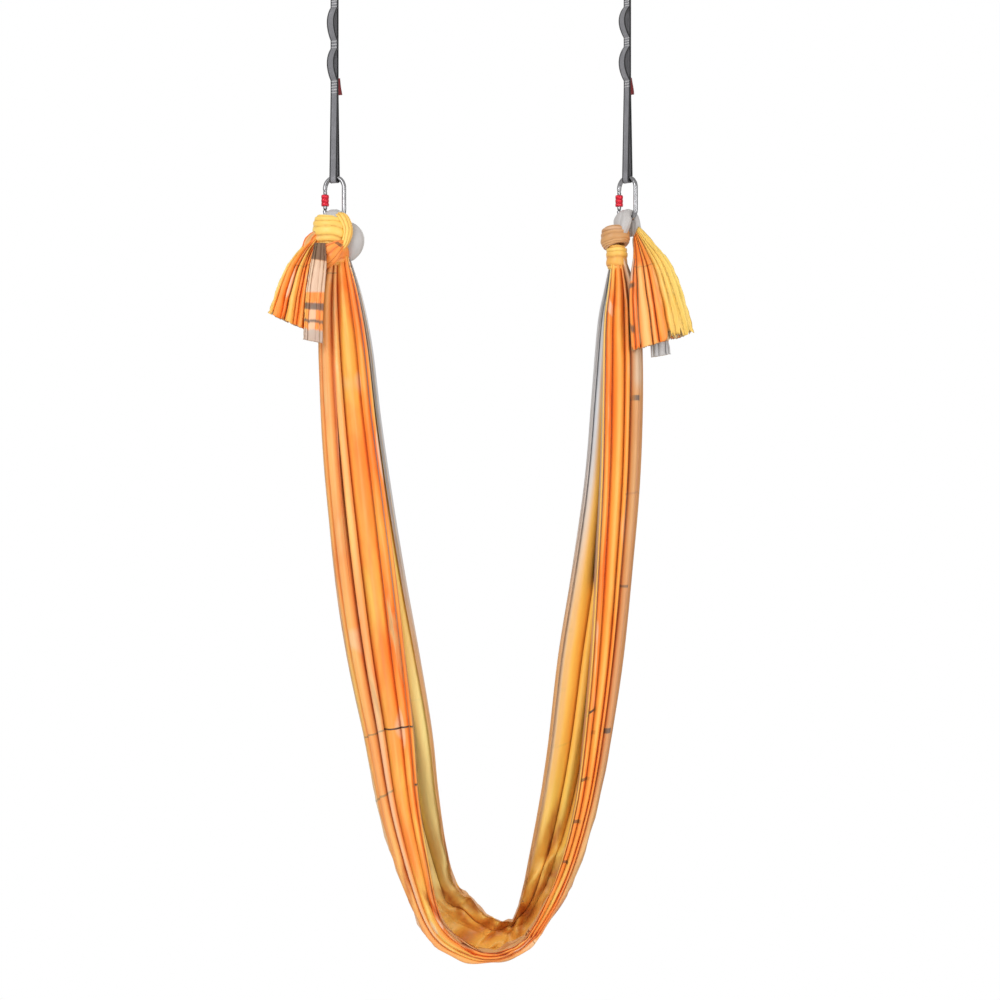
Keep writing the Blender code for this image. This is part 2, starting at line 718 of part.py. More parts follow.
def folded_ring(edge, far_edge, forward, half_depth, folds, fold_depth, dish=0.0):
    """Return a section from edge to far edge: crests and valleys on both faces, the far edge dished."""
    middle = (edge + far_edge) / 2
    reach = (far_edge - edge) / 2
    depth = Vector((0, -1, 0))
    points = 2 * folds
    faces = []
    for face in (1, -1):
        row = []
        for index in range(1, points):
            along = 2 * index / points - 1
            swell = (1 - abs(along) ** ROUNDNESS_SHARE) ** (1 / ROUNDNESS_SHARE)
            lift = half_depth * swell - (0 if index % 2 else fold_depth)
            if index == points - 1:
                along += (1 - along) * dish
            row.append(middle + reach * along + depth * (forward + face * lift))
        faces.append(row)
    dip = middle + reach * (1 - dish) + depth * forward
    return [edge + depth * forward, *faces[0], dip, *reversed(faces[1])]


def sling_mesh():
    """The cloth between the knots: a gathered U with its main folds, dished at the seat."""
    neck_share = NECK_DEPTH / SEAT_DEPTH
    branch_share = BRANCH_DEPTH / SEAT_DEPTH
    rings = []
    for outer_x, outer_down, inner_x, inner_down, depth_share in smooth_rows(SLING_SHARES, SLING_STEPS):
        outer = Vector((outer_x * HALF_SPACING, 0, -outer_down * SLING_DROP))
        inner = Vector((inner_x * HALF_SPACING, 0, -inner_down * SLING_DROP))
        branch = min(max(depth_share, 0.0), 1.0)
        seat = min(max(depth_share - 1, 0.0), 1.0)
        share = neck_share + (branch_share - neck_share) * branch + (1 - branch_share) * seat
        half_depth = SEAT_DEPTH / 2 * share
        dish = SEAT_DISH_SHARE * seat
        rings.append(folded_ring(outer, inner, 0.0, half_depth, SLING_FOLDS, FOLD_DEPTH, dish))
    return lofted(rings)


def tail_mesh(side):
    """Loose end of the knot, fanned out in folds in front of the sling's edge."""
    rings = []
    for row in smooth_rows(TAIL_SHARES[side], TAIL_STEPS):
        near_x, near_down, far_x, far_down, forward_share, depth_share = row
        near = Vector((near_x * HALF_SPACING, 0, -near_down * TAIL_DROP))
        far = Vector((far_x * HALF_SPACING, 0, -far_down * TAIL_DROP))
        forward = forward_share * TAIL_FORWARD
        half_depth = depth_share * TAIL_DEPTH / 2
        fold = depth_share * TAIL_FOLD
        rings.append(folded_ring(near, far, forward, half_depth, TAIL_FOLDS, fold))
    return lofted(rings)


def bar_cutter(turn):
    """The carabiner's bar with the clearance round it, turned as the carabiner is."""
    mesh = lofted(carabiner_rings(BAR_RADIUS + CLEARANCE, HALF_STRAIGHT))
    mesh.transform(Matrix.Rotation(-math.radians(turn), 4, "Z"))
    return mesh


def eye_band_mesh(turn):
    """Cloth gathered over the carabiner's lower bar, its origin at the carabiner's centre."""
    top = -HALF_STRAIGHT + EYE_RISE
    height = CARABINER_HEIGHT / 2 + EYE_SEAT + top
    mesh = stack_mesh(EYE_SHARES, EYE_WIDTH, EYE_DEPTH, height, turn)
    mesh.transform(Matrix.Translation((0, 0, top)))
    return carve(mesh, cuts=[bar_cutter(turn)])


def add_knot(side, sign, parent, pivot):
    """Place one knot: the eye over the bar, the wrap, the collar, the left lobe and the tail."""
    turn = STRAPS[side]["turn"]

    def place(name, mesh, world):
        make_piece(name, mesh, "sling_nylon", parent, Vector(world) - pivot)

    anchor_x = sign * HALF_SPACING
    place(f"cloth_eye_{side}", eye_band_mesh(turn), (anchor_x, 0, LOWER_CENTRE_Z))
    wrap = stack_mesh(WRAP_SHARES[side], KNOT_WIDTH, KNOT_DEPTH, WRAP_HEIGHT - CLEARANCE)
    place(f"knot_wrap_{side}", wrap, (anchor_x, 0, KNOT_TOP_Z - CLEARANCE))
    collar = stack_mesh(COLLAR_SHARES[side], COLLAR_WIDTH, COLLAR_DEPTH, COLLAR_HEIGHT - CLEARANCE)
    place(f"knot_collar_{side}", collar, (anchor_x, 0, COLLAR_TOP_Z - CLEARANCE))
    place(f"cloth_tail_{side}", tail_mesh(side), (anchor_x, 0, COLLAR_TOP_Z - CLEARANCE))
    if side == "left":
        shift = KNOT_WIDTH * LOBE_PLACE_SHARE + LOBE_WIDTH / 2 + CLEARANCE
        lobe = stack_mesh(LOBE_SHARES, LOBE_WIDTH, LOBE_DEPTH, LOBE_HEIGHT, shift=shift)
        place("knot_lobe_left", lobe, (anchor_x, 0, KNOT_TOP_Z))


def add_ceiling(side, sign):
    """Place a ceiling plate and the eye welded under it, and return the eye's pivot."""
    place = (sign * HALF_SPACING, 0, 0)
    make_piece(f"ceiling_plate_{side}", plate_mesh(), "zinc_plate", None, place)
    axis = (sign * HALF_SPACING, 0, EYE_Z)
    make_piece(f"ceiling_eye_{side}", eye_mesh(), "zinc_plate", None, axis)
    return make_pivot(f"hanger_{side}_pivot", None, axis)


def main():
    """Clear the scene and build the hammock from the ceiling down."""
    for item in list(bpy.data.objects):
        bpy.data.objects.remove(item)
    shapes = carabiner_shapes()
    sling_pivot = None
    for side, sign in (("left", -1), ("right", 1)):
        hanger = add_ceiling(side, sign)
        add_carabiner(shapes, "upper", side, hanger, (0, 0, UPPER_CENTRE_Z - EYE_Z), -90.0)
        strap_pivot = make_pivot(f"strap_{side}_pivot", hanger, (0, 0, STRAP_TOP_Z - EYE_Z))
        add_strap(side, strap_pivot)
        if side == "left":
            sling_pivot = make_pivot("sling_pivot", strap_pivot, (0, 0, -STRAP_REACH))
    pivot = Vector((-HALF_SPACING, 0, STRAP_END_Z))
    for side, sign in (("left", -1), ("right", 1)):
        centre = Vector((sign * HALF_SPACING, 0, LOWER_CENTRE_Z)) - pivot
        add_carabiner(shapes, "lower", side, sling_pivot, centre, STRAPS[side]["turn"])
        add_knot(side, sign, sling_pivot, pivot)
    cloth_place = Vector((0, 0, SLING_TOP_Z - CLEARANCE)) - pivot
    make_piece("sling_cloth", sling_mesh(), "sling_nylon", sling_pivot, cloth_place)


main()
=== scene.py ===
"""The looks of an aerial hammock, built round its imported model.

Metres, +Z up, +X to the right seen from the front, which faces -Y. The origin lies on the ceiling
plane, midway between the two plates. Shares are fractions of the size that they follow.
"""

from __future__ import annotations

import logging
import random
from dataclasses import dataclass, field
from enum import Enum
from math import atan2, copysign, cos, degrees, dist, exp, hypot, pi, radians, sin
from typing import Callable, Sequence

import bmesh
import bpy
from mathutils import Matrix, Vector, noise

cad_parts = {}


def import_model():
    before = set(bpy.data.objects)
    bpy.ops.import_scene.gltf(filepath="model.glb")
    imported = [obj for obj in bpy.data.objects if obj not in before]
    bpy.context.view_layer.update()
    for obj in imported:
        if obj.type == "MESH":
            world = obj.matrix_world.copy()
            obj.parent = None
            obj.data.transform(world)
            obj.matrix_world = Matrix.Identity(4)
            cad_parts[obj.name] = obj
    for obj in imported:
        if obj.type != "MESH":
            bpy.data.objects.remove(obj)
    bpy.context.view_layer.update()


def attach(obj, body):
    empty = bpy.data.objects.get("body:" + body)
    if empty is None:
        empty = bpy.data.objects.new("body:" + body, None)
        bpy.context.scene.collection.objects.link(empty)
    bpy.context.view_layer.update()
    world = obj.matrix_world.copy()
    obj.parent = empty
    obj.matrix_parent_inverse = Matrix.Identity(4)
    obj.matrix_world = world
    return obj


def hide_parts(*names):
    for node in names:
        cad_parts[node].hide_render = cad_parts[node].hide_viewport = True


log = logging.getLogger("hammock")

Pair = tuple[float, float]
Triple = tuple[float, float, float]
Shape = bmesh.types.BMesh
Material = bpy.types.Material
Object = bpy.types.Object

FRONT = Vector((0.0, -1.0, 0.0))
UP = Vector((0.0, 0.0, 1.0))
TAU = 2 * pi
# Hardware keeps the edges sharp that turn by more than this
SHARP = radians(38)
# Points nearer than this are one
MERGE = 1e-6


class Side(Enum):
    """The two sides of the hammock, seen from the front."""

    LEFT = "left"
    RIGHT = "right"

    @property
    def sign(self) -> int:
        """-1 on the left, 1 on the right."""
        return -1 if self is Side.LEFT else 1

    @property
    def anchor(self) -> float:
        """X of the side's carabiners."""
        return self.sign * SIZES.half_spacing


class Level(Enum):
    """The two carabiners of a side."""

    UPPER = "upper"
    LOWER = "lower"


@dataclass(frozen=True)
class Sizes:
    """Sizes that several sub-assemblies share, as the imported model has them."""

    half_spacing: float = 0.3367
    eye_z: float = -0.040
    bar_radius: float = 0.00525
    arc_radius: float = 0.02475
    half_straight: float = 0.025
    strap_reach: float = 0.5093
    knot_top_drop: float = 0.061
    wrap_height: float = 0.0455
    collar_height: float = 0.057
    sling_drop: float = 1.589
    clearance: float = 0.0003
    eye_bar: float = 0.010

    @property
    def bar_reach(self) -> float:
        """From a carabiner's middle to the middle of its lower bar."""
        return self.half_straight + self.arc_radius

    @property
    def upper_z(self) -> float:
        """Height of an upper carabiner's middle."""
        return self.eye_z + self.eye_bar / 2 + self.clearance + self.bar_radius - self.bar_reach

    @property
    def strap_top_z(self) -> float:
        """Height of the bar that the strap's upper loop hangs on."""
        return self.upper_z - self.bar_reach

    @property
    def strap_end_z(self) -> float:
        """Height of the bar in the strap's end loop."""
        return self.strap_top_z - self.strap_reach

    @property
    def lower_z(self) -> float:
        """Height of a lower carabiner's middle."""
        return self.strap_end_z - self.bar_reach

    @property
    def knot_top_z(self) -> float:
        """Height of the top of a knot."""
        return self.lower_z - self.knot_top_drop

    @property
    def collar_top_z(self) -> float:
        """Height of the top of a knot's collar."""
        return self.knot_top_z - self.wrap_height

    @property
    def sling_top_z(self) -> float:
        """Height at which the sling leaves its knots."""
        return self.collar_top_z - self.collar_height


SIZES = Sizes()
TURNS = {Side.LEFT: 24.0, Side.RIGHT: 44.0}


# Maths and meshes


def spline(rows: Sequence[Sequence[float]], at: float) -> list[float]:
    """Read a smooth curve through rows of numbers.

    Args:
        rows: the values that the curve passes through, evenly spaced.
        at: the place to read, from 0 at the first row to 1 at the last.

    Returns:
        One value for each column of the rows.
    """
    last = len(rows) - 1
    spot = min(max(at, 0.0), 1.0) * last
    index = min(int(spot), last - 1)
    t = spot - index
    near = [rows[max(index - 1, 0)], rows[index], rows[index + 1], rows[min(index + 2, last)]]
    values = []
    for a, b, c, d in zip(*near):
        cubic = 2 * b + (c - a) * t + (2 * a - 5 * b + 4 * c - d) * t * t
        values.append((cubic + (3 * b - a - 3 * c + d) * t * t * t) / 2)
    return values


def ease(value: float, low: float, high: float) -> float:
    """Return 0 below low, 1 above high and a smooth step between them."""
    t = min(max((value - low) / (high - low), 0.0), 1.0)
    return t * t * (3 - 2 * t)


def mix(a: float, b: float, share: float) -> float:
    """Return the value a share of the way from a to b."""
    return a + (b - a) * share


def wander(seed: float, along: float, pace: float) -> float:
    """Return smooth noise from -1 to 1 along a line of its own."""
    return noise.noise(Vector((seed * 17.13, along * pace, seed * 3.7)))


def arc(centre: Pair, radius: float, start: float, sweep: float = 180.0,
        steps: int = 16) -> list[Pair]:
    """Return points of a circle, from an angle in degrees over a sweep."""
    angles = [radians(start + sweep * step / steps) for step in range(steps + 1)]
    return [(centre[0] + radius * cos(angle), centre[1] + radius * sin(angle)) for angle in angles]


def as_mesh(bm: Shape, name: str) -> bpy.types.Mesh:
    """Return a shape as a mesh, and free the shape."""
    mesh = bpy.data.meshes.new(name)
    bm.to_mesh(mesh)
    bm.free()
    return mesh


def linked(name: str, data: bpy.types.ID) -> Object:
    """Return a new object of some data, linked to the scene."""
    obj = bpy.data.objects.new(name, data)
    bpy.context.scene.collection.objects.link(obj)
    return obj


@dataclass
class Piece:
    """One finished object: its mesh, materials, and the body that it rides on."""

    name: str
    body: str
    slot: str
    replaces: tuple[str, ...] = ()
    sharp: bool = False

    def place(self, bm: Shape, materials: Sequence[Material]) -> Object:
        """Make the object from a bmesh and fit it to its body.

        Args:
            bm: the shape, in the model's frame. It is freed here.
            materials: the materials of the object's slots.

        Returns:
            The new object.
        """
        mesh = as_mesh(bm, self.name)
        mesh.shade_smooth()
        if self.sharp:
            mesh.set_sharp_from_angle(angle=SHARP)
        for material in materials:
            mesh.materials.append(material)
        obj = linked(self.name, mesh)
        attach(obj, self.body)
        if self.replaces:
            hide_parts(*self.replaces)
        log.info("%s on %s: %d faces", self.name, self.body, len(mesh.polygons))
        return obj


def cloth_piece(name: str, bm: Shape, materials: Sequence[Material], *nodes: str) -> Object:
    """Place a piece of the gathered cloth, which stands for some nodes."""
    return Piece(name, "sling", "sling_nylon", nodes).place(bm, materials)


def flat_grid(across: int, along: int, lie: Callable[[float, float], Pair]) -> Shape:
    """Make a flat grid with a UV map.

    Args:
        across: the number of faces across.
        along: the number of faces along.
        lie: gives the UV of a point from its shares across and along.

    Returns:
        The grid, one unit wide and long about the origin.
    """
    bm = bmesh.new()
    bmesh.ops.create_grid(bm, x_segments=across, y_segments=along, size=0.5)
    layer = bm.loops.layers.uv.new("UVMap")
    for face in bm.faces:
        for loop in face.loops:
            loop[layer].uv = lie(loop.vert.co.x + 0.5, loop.vert.co.y + 0.5)
    return bm


def laid_grid(across: int, along: int, rule: Callable[[float, float], Vector],
              scale: Pair) -> Shape:
    """Make a grid and lay each of its points by a rule.

    Args:
        across: the number of faces across the sheet.
        along: the number of faces along it.
        rule: gives the place of a point from its shares across and along.
        scale: the sheet's flat width and length, which its UV map is drawn in.

    Returns:
        The sheet, closed where its points meet.
    """
    bm = flat_grid(across, along, lambda u, v: (u * scale[0], v * scale[1]))
    for vert in bm.verts:
        vert.co = rule(vert.co.x + 0.5, vert.co.y + 0.5)
    bmesh.ops.remove_doubles(bm, verts=bm.verts, dist=MERGE)
    return bm


def face_out(bm: Shape) -> Shape:
    """Point the faces of a closed shape outwards, and return it."""
    bmesh.ops.recalc_face_normals(bm, faces=bm.faces)
    return bm


def shifted(bm: Shape, by: Sequence[float]) -> Shape:
    """Move a shape, and return it."""
    bmesh.ops.translate(bm, verts=bm.verts, vec=by)
    return bm


def close_rims(bm: Shape) -> None:
    """Close the open rims of a shape, if it has any."""
    rims = [edge for edge in bm.edges if edge.is_boundary]
    if rims:
        bmesh.ops.holes_fill(bm, edges=rims)


def thicken(obj: Object, thickness: float, offset: float = -1.0, reverse: bool = False) -> None:
    """Give a sheet its thickness.

    Args:
        obj: the sheet's object.
        thickness: the cloth's thickness.
        offset: -1 to grow away from the face side, 0 to grow both ways.
        reverse: whether the other side takes the second material.
    """
    modifier = obj.modifiers.new("thickness", "SOLIDIFY")
    modifier.thickness = thickness
    modifier.offset = offset
    modifier.use_quality_normals = True
    if reverse:
        modifier.material_offset = 1


# Shaders


def maths(operation: str, swapped: bool = False) -> Callable[..., Value]:
    """Return a method of Value that adds a Math node.

    Args:
        operation: the node's operation.
        swapped: whether the other operand comes first.

    Returns:
        The method, which takes the other operand, if there is one.
    """

    def method(value: Value, other: Value | float = 0.0) -> Value:
        """Add the node and return its result."""
        tree = value.socket.id_data
        node = tree.nodes.new("ShaderNodeMath")
        node.operation = operation
        for socket, operand in zip(node.inputs, (other, value) if swapped else (value, other)):
            if isinstance(operand, Value):
                tree.links.new(operand.socket, socket)
            else:
                socket.default_value = operand
        return Value(node.outputs[0])

    return method


@dataclass(frozen=True)
class Value:
    """A socket of a node tree that Python's operators add Math nodes to."""

    socket: bpy.types.NodeSocket

    __add__, __radd__ = maths("ADD"), maths("ADD", swapped=True)
    __sub__, __rsub__ = maths("SUBTRACT"), maths("SUBTRACT", swapped=True)
    __mul__, __rmul__ = maths("MULTIPLY"), maths("MULTIPLY", swapped=True)
    __truediv__ = maths("DIVIDE")
    __pow__ = maths("POWER")
    sine, size, wrap = maths("SINE"), maths("ABSOLUTE"), maths("FRACT")
    most = maths("MAXIMUM")

    def step(self, low: float, high: float) -> Value:
        """Return a smooth step from 0 at low to 1 at high."""
        tree = self.socket.id_data
        node = tree.nodes.new("ShaderNodeMapRange")
        node.interpolation_type = "SMOOTHSTEP"
        tree.links.new(self.socket, node.inputs["Value"])
        node.inputs["From Min"].default_value = low
        node.inputs["From Max"].default_value = high
        return Value(node.outputs["Result"])


Colour = Triple
Input = Value | float | Sequence[float]


def toned(colour: Colour, share: float) -> Colour:
    """Return a colour made darker or lighter, up to full."""
    return tuple(min(share * part, 1.0) for part in colour)


class Recipe:
    """A material being built: its tree, its main shader and the node method."""

    def __init__(self, name: str) -> None:
        """Make an empty material.

        Args:
            name: the material's name.
        """
        self.material = bpy.data.materials.new(name)
        self.material.use_nodes = True
        self.tree = self.material.node_tree
        self.shader = self.tree.nodes["Principled BSDF"]

    def node(self, kind: str, settings: dict | None = None, values: dict | None = None,
             out: str | int = 0) -> Value:
        """Add a node.

        Args:
            kind: the node's type after ShaderNode.
            settings: the node's own options, and a ramp's stops under "stops".
            values: numbers or links of its sockets.
            out: the output to return.

        Returns:
            The output, as a value.
        """
        node = self.tree.nodes.new("ShaderNode" + kind)
        for key, value in (settings or {}).items():
            if key == "stops":
                self._stops(node.color_ramp, value)
            else:
                setattr(node, key, value)
        for key, value in (values or {}).items():
            self.feed(node.inputs[key], value)
        return Value(node.outputs[out])

    @staticmethod
    def _stops(ramp: bpy.types.ColorRamp, stops: Sequence[tuple[float, Colour]]) -> None:
        """Set the stops of a ramp."""
        while len(ramp.elements) < len(stops):
            ramp.elements.new(1.0)
        for element, (place, colour) in zip(ramp.elements, stops):
            element.position = place
            element.color = (*colour, 1.0)

    def feed(self, socket: bpy.types.NodeSocket, value: Input) -> None:
        """Set a socket to a number or colour, or link a value to it."""
        if isinstance(value, Value):
            self.tree.links.new(value.socket, socket)
        elif isinstance(value, (int, float)):
            socket.default_value = value
        else:
            room = len(socket.default_value)
            socket.default_value = [*value, 1.0][:room]

    def set(self, **values: Input) -> None:
        """Set sockets of the main shader, with _ for a blank in their names."""
        for key, value in values.items():
            self.feed(self.shader.inputs[key.replace("_", " ")], value)

    def place(self) -> Value:
        """Return the Object coordinates."""
        return self.node("TexCoord", out="Object")

    def flat(self) -> Value:
        """Return the coordinates of the piece's UV map."""
        return self.node("UVMap", {"uv_map": "UVMap"})

    def valley(self) -> Value:
        """Return how deep the cloth lies in a fold, which sets its painted shade."""
        return self.node("Attribute", {"attribute_name": "valley"}, out="Fac")

    def parts(self, vector: Value) -> tuple[Value, Value, Value]:
        """Return the three parts of a vector."""
        node = self.tree.nodes.new("ShaderNodeSeparateXYZ")
        self.tree.links.new(vector.socket, node.inputs[0])
        return tuple(Value(output) for output in node.outputs)

    def scaled(self, vector: Value, scale: Sequence[float]) -> Value:
        """Return a vector scaled."""
        return self.node("Mapping", values={"Vector": vector, "Scale": scale})

    def noise(self, vector: Value, scale: float, detail: float = 3.0, rough: float = 0.5,
              warp: float = 0.0) -> Value:
        """Return noise from 0 to 1."""
        return self.node("TexNoise", values={"Vector": vector, "Scale": scale, "Detail": detail,
                                             "Roughness": rough, "Distortion": warp})

    def blend(self, share: Value | float, first: Input, second: Input, kind: str = "MIX") -> Value:
        """Return a mix of two colours."""
        settings = {"data_type": "RGBA", "blend_type": kind, "clamp_factor": True}
        return self.node("Mix", settings, {0: share, 6: first, 7: second}, out=2)

    def bump(self, height: Value, distance: float, strength: float = 1.0,
             after: Value | None = None) -> Value:
        """Return a normal raised by a height, on top of another normal if there is one."""
        values = {"Height": height, "Distance": distance, "Strength": strength}
        if after is not None:
            values["Normal"] = after
        return self.node("Bump", values=values)


@dataclass(frozen=True)
class Steel:
    """Steel of a ground, polished or plated kind."""

    name: str
    colour: Colour
    roughness: float
    scratch: float
    mottle: float = 0.0

    def make(self) -> Material:
        """Return the material, with fine rubbed marks and smudges."""
        recipe = Recipe(self.name)
        place = recipe.place()
        smudge = recipe.noise(place, 90.0, 4.0, 0.6)
        rub = recipe.noise(recipe.scaled(place, (900.0, 900.0, 60.0)), 1.0, 2.0)
        fleck = recipe.noise(place, 420.0, 2.0, 0.5, 0.6).step(0.45, 0.62)
        worn = recipe.blend(smudge.step(0.35, 0.7), self.colour, toned(self.colour, 0.72))
        colour = recipe.blend(fleck * self.mottle, worn, toned(self.colour, 1.16))
        rough = smudge * (self.roughness * 0.7) + (self.roughness * 0.6) + rub * self.scratch
        recipe.set(Base_Color=colour, Roughness=rough, Metallic=1.0,
                   Normal=recipe.bump(rub + smudge * 0.6, 0.00004, 0.35))
        return recipe.material


@dataclass(frozen=True)
class Anodised:
    """Dyed and anodised aluminium, paler where hands rub its ridges."""

    name: str
    colour: Colour
    worn: Colour

    def make(self) -> Material:
        """Return the material."""
        recipe = Recipe(self.name)
        place = recipe.place()
        grain = recipe.noise(place, 1400.0, 2.0)
        patch = recipe.noise(place, 160.0, 4.0, 0.6)
        edge = recipe.node("NewGeometry", out="Pointiness").step(0.52, 0.60)
        colour = recipe.blend(edge * patch * 0.8, self.colour, self.worn)
        recipe.set(Base_Color=colour, Metallic=0.75, Roughness=patch * 0.2 + 0.22, Coat_Weight=0.3,
                   Normal=recipe.bump(grain, 0.00003, 0.5))
        return recipe.material


@dataclass(frozen=True)
class Webbing:
    """Flat woven webbing with dark selvedges."""

    name: str
    colour: Colour
    edge: Colour
    width: float
    rib: float = 0.0011

    def make(self) -> Material:
        """Return the material, woven along the piece's own UV map."""
        recipe = Recipe(self.name)
        u, v, _ = recipe.parts(recipe.flat())
        ribs = (u * (TAU / self.rib)).sine()
        rows = (v * (TAU / self.rib) + ribs * 1.4).sine()
        weave = (ribs * rows * 0.5 + 0.5).most(0.0)
        from_edge = (u - self.width / 2).size()
        selvedge = from_edge.step(self.width * 0.31, self.width * 0.37)
        fuzz = recipe.noise(recipe.place(), 900.0, 3.0, 0.7)
        wear = recipe.noise(recipe.place(), 35.0, 4.0, 0.6).step(0.4, 0.75)
        # Painted shade in the troughs of the weave, with random tone from the fuzz
        shade = recipe.blend(weave * 0.6 + fuzz * 0.3, toned(self.colour, 0.55), self.colour)
        pale = recipe.blend(wear * 0.35, shade, toned(self.colour, 1.5))
        colour = recipe.blend(selvedge, pale, self.edge)
        normal = recipe.bump(weave, 0.00035, 0.9)
        recipe.set(Base_Color=colour, Roughness=fuzz * 0.15 + 0.66, Sheen_Weight=0.25, Sheen_Roughness=0.4,
                   Normal=recipe.bump(fuzz, 0.0001, 0.4, normal))
        return recipe.material


@dataclass(frozen=True)
class Thread:
    """Sewing thread in close stitches."""

    name: str
    colour: Colour
    pitch: float = 0.0006

    def make(self) -> Material:
        """Return the material, its stitches across the piece's UV map."""
        recipe = Recipe(self.name)
        u, v, _ = recipe.parts(recipe.flat())
        stitch = (u * (TAU / self.pitch) + v * 900.0).sine() * 0.5 + 0.5
        fuzz = recipe.noise(recipe.place(), 1600.0, 2.0)
        # Painted shade between the stitches
        colour = recipe.blend(stitch, toned(self.colour, 0.45), self.colour)
        recipe.set(Base_Color=colour, Roughness=fuzz * 0.2 + 0.5, Sheen_Weight=0.2,
                   Normal=recipe.bump(stitch + fuzz * 0.3, 0.0003, 0.9))
        return recipe.material


@dataclass(frozen=True)
class Patch:
    """A block of colour on the flat cloth, between places across and along it: mostly print, with a few
    blocks of painted light and painted shade.
    """

    across: Pair
    along: Pair
    colour: Colour
    strength: float = 0.85
    edge: float = 0.003
    side: float = 0.02

    def mask(self, u: Value, v: Value) -> Value:
        """Return where the block lies."""
        mask = u.step(self.across[0] - self.side, self.across[0] + self.side) * (
            1.0 - u.step(self.across[1] - self.side, self.across[1] + self.side))
        mask = mask * v.step(self.along[0] - self.edge, self.along[0] + self.edge)
        return mask * (1.0 - v.step(self.along[1] - self.edge, self.along[1] + self.edge)) * self.strength


# Colours of the painted shade in the print's folds, of its thin lines and pale blotches, and of the painted
# shade in the darkest gaps
FOLD_SHADE, LINE, PALE = (0.62, 0.30, 0.20), (0.085, 0.045, 0.03), (0.90, 0.68, 0.50)
GAP_SHADE = (0.16, 0.055, 0.035)
# Pitch of the knit across and along
WALE, COURSE = 0.0016, 0.0022


@dataclass(frozen=True)
class Tricot:
    """Satin nylon tricot, printed with soft blotches and a few thin dark lines.

    The print lies in the flat cloth, so it breaks where the cloth folds. The folds get painted shade.
    """

    name: str
    ground: tuple[Colour, ...]
    valley: Colour = FOLD_SHADE
    line: Colour = LINE
    pale: Colour = PALE
    shift: float = 0.0
    lines: float = 1.0
    patches: tuple[Patch, ...] = ()

    def make(self) -> Material:
        """Return the printed face's material."""
        recipe = Recipe(self.name)
        flat = recipe.flat()
        u, v, _ = recipe.parts(flat)
        shift = (self.shift, self.shift * 1.7, 0)
        moved = recipe.node("VectorMath", {"operation": "ADD"}, {0: flat, 1: shift})
        broad = recipe.noise(recipe.scaled(moved, (2.4, 1.0, 1.0)), 1.6, 2.0, 0.45, 0.3)
        soft = recipe.noise(recipe.scaled(moved, (4.2, 1.9, 1.0)), 2.6, 3.0, 0.5, 0.5)
        streak = recipe.noise(recipe.scaled(moved, (16.0, 1.7, 1.0)), 1.6, 2.0, 0.5, 0.3)
        stops = [(0.32 + 0.36 * index / (len(self.ground) - 1), tint)
                 for index, tint in enumerate(self.ground)]
        tone = (broad * 0.45 + soft * 0.30 + streak * 0.25) * 1.45 - 0.215
        colour = recipe.node("ValToRGB", {"stops": stops}, {"Fac": tone})
        blot = recipe.noise(recipe.scaled(moved, (3.4, 3.0, 1.0)), 2.2, 1.0, 0.4, 0.2).step(0.66, 0.71)
        colour = recipe.blend(blot * 0.55, colour, self.pale)
        colour = recipe.blend(self.printed_lines(recipe, u, v) * self.lines, colour, self.line)
        for patch in self.patches:
            tint = recipe.blend(soft, patch.colour, toned(patch.colour, 1.35))
            colour = recipe.blend(patch.mask(u, v), colour, tint)
        # Painted shade: the folds are darkened towards one colour, the deepest gaps towards a darker one
        valley = recipe.valley()
        deep = recipe.blend(valley.step(0.06, 0.90) * 0.86, (1, 1, 1), self.valley)
        deep = recipe.blend(valley.step(0.95, 1.60) * 0.9, deep, GAP_SHADE)
        colour = recipe.blend(1.0, colour, deep, "MULTIPLY")
        recipe.set(Base_Color=colour, **self.surface(recipe, flat, soft))
        return recipe.material

    @staticmethod
    def printed_lines(recipe: Recipe, u: Value, v: Value) -> Value:
        """Return the mask of the thin lines and the short bars beside them."""
        waver = recipe.noise(recipe.node("CombineXYZ", values={0: u * 1.3, 1: v * 0.5}), 1.0, 2.0)
        mask = None
        for period, start, half, gate in ((0.92, 0.31, 0.0011, 0.42), (1.37, 0.86, 0.0015, 0.46)):
            spot = (v + waver * 0.10 + u * 0.03 + start) / period
            near = ((spot.wrap() - 0.5).size() * period).step(half * 2, half)
            there = recipe.noise(recipe.node("CombineXYZ", values={0: u * 2.1 + start, 1: v * 1.2}), 1.0, 1.0)
            found = near * there.step(gate, gate + 0.03)
            mask = found if mask is None else mask.most(found)
        bar = (((v / 0.094 + waver).wrap() - 0.5).size() * 0.094).step(0.0042, 0.0032)
        short = recipe.noise(recipe.node("CombineXYZ", values={0: u * 7.0, 1: v * 1.1}), 1.0, 0.0)
        return mask.most(bar * short.step(0.68, 0.70) * 0.7)

    @staticmethod
    def surface(recipe: Recipe, flat: Value, soft: Value) -> dict[str, Input]:
        """Return the sockets that give the satin surface: knit, creases and sheen."""
        knit_u, knit_v, _ = recipe.parts(recipe.scaled(flat, (TAU / WALE, TAU / COURSE, 1.0)))
        knit = knit_u.sine() * (knit_v + knit_u.sine()).sine() * 0.5 + 0.5
        crease = recipe.noise(recipe.scaled(flat, (34.0, 5.0, 1.0)), 1.0, 4.0, 0.55, 0.8)
        rumple = recipe.noise(recipe.scaled(flat, (9.0, 3.0, 1.0)), 1.0, 3.0, 0.5, 0.6)
        normal = recipe.bump(crease, 0.0035, 0.45)
        normal = recipe.bump(rumple, 0.006, 0.35, normal)
        return {
            "Roughness": crease * 0.16 + soft * 0.1 + 0.30,
            "Sheen_Weight": 0.10,
            "Sheen_Roughness": 0.35,
            "Specular_IOR_Level": 0.5,
            "Normal": recipe.bump(knit, 0.00012, 0.35, normal),
        }


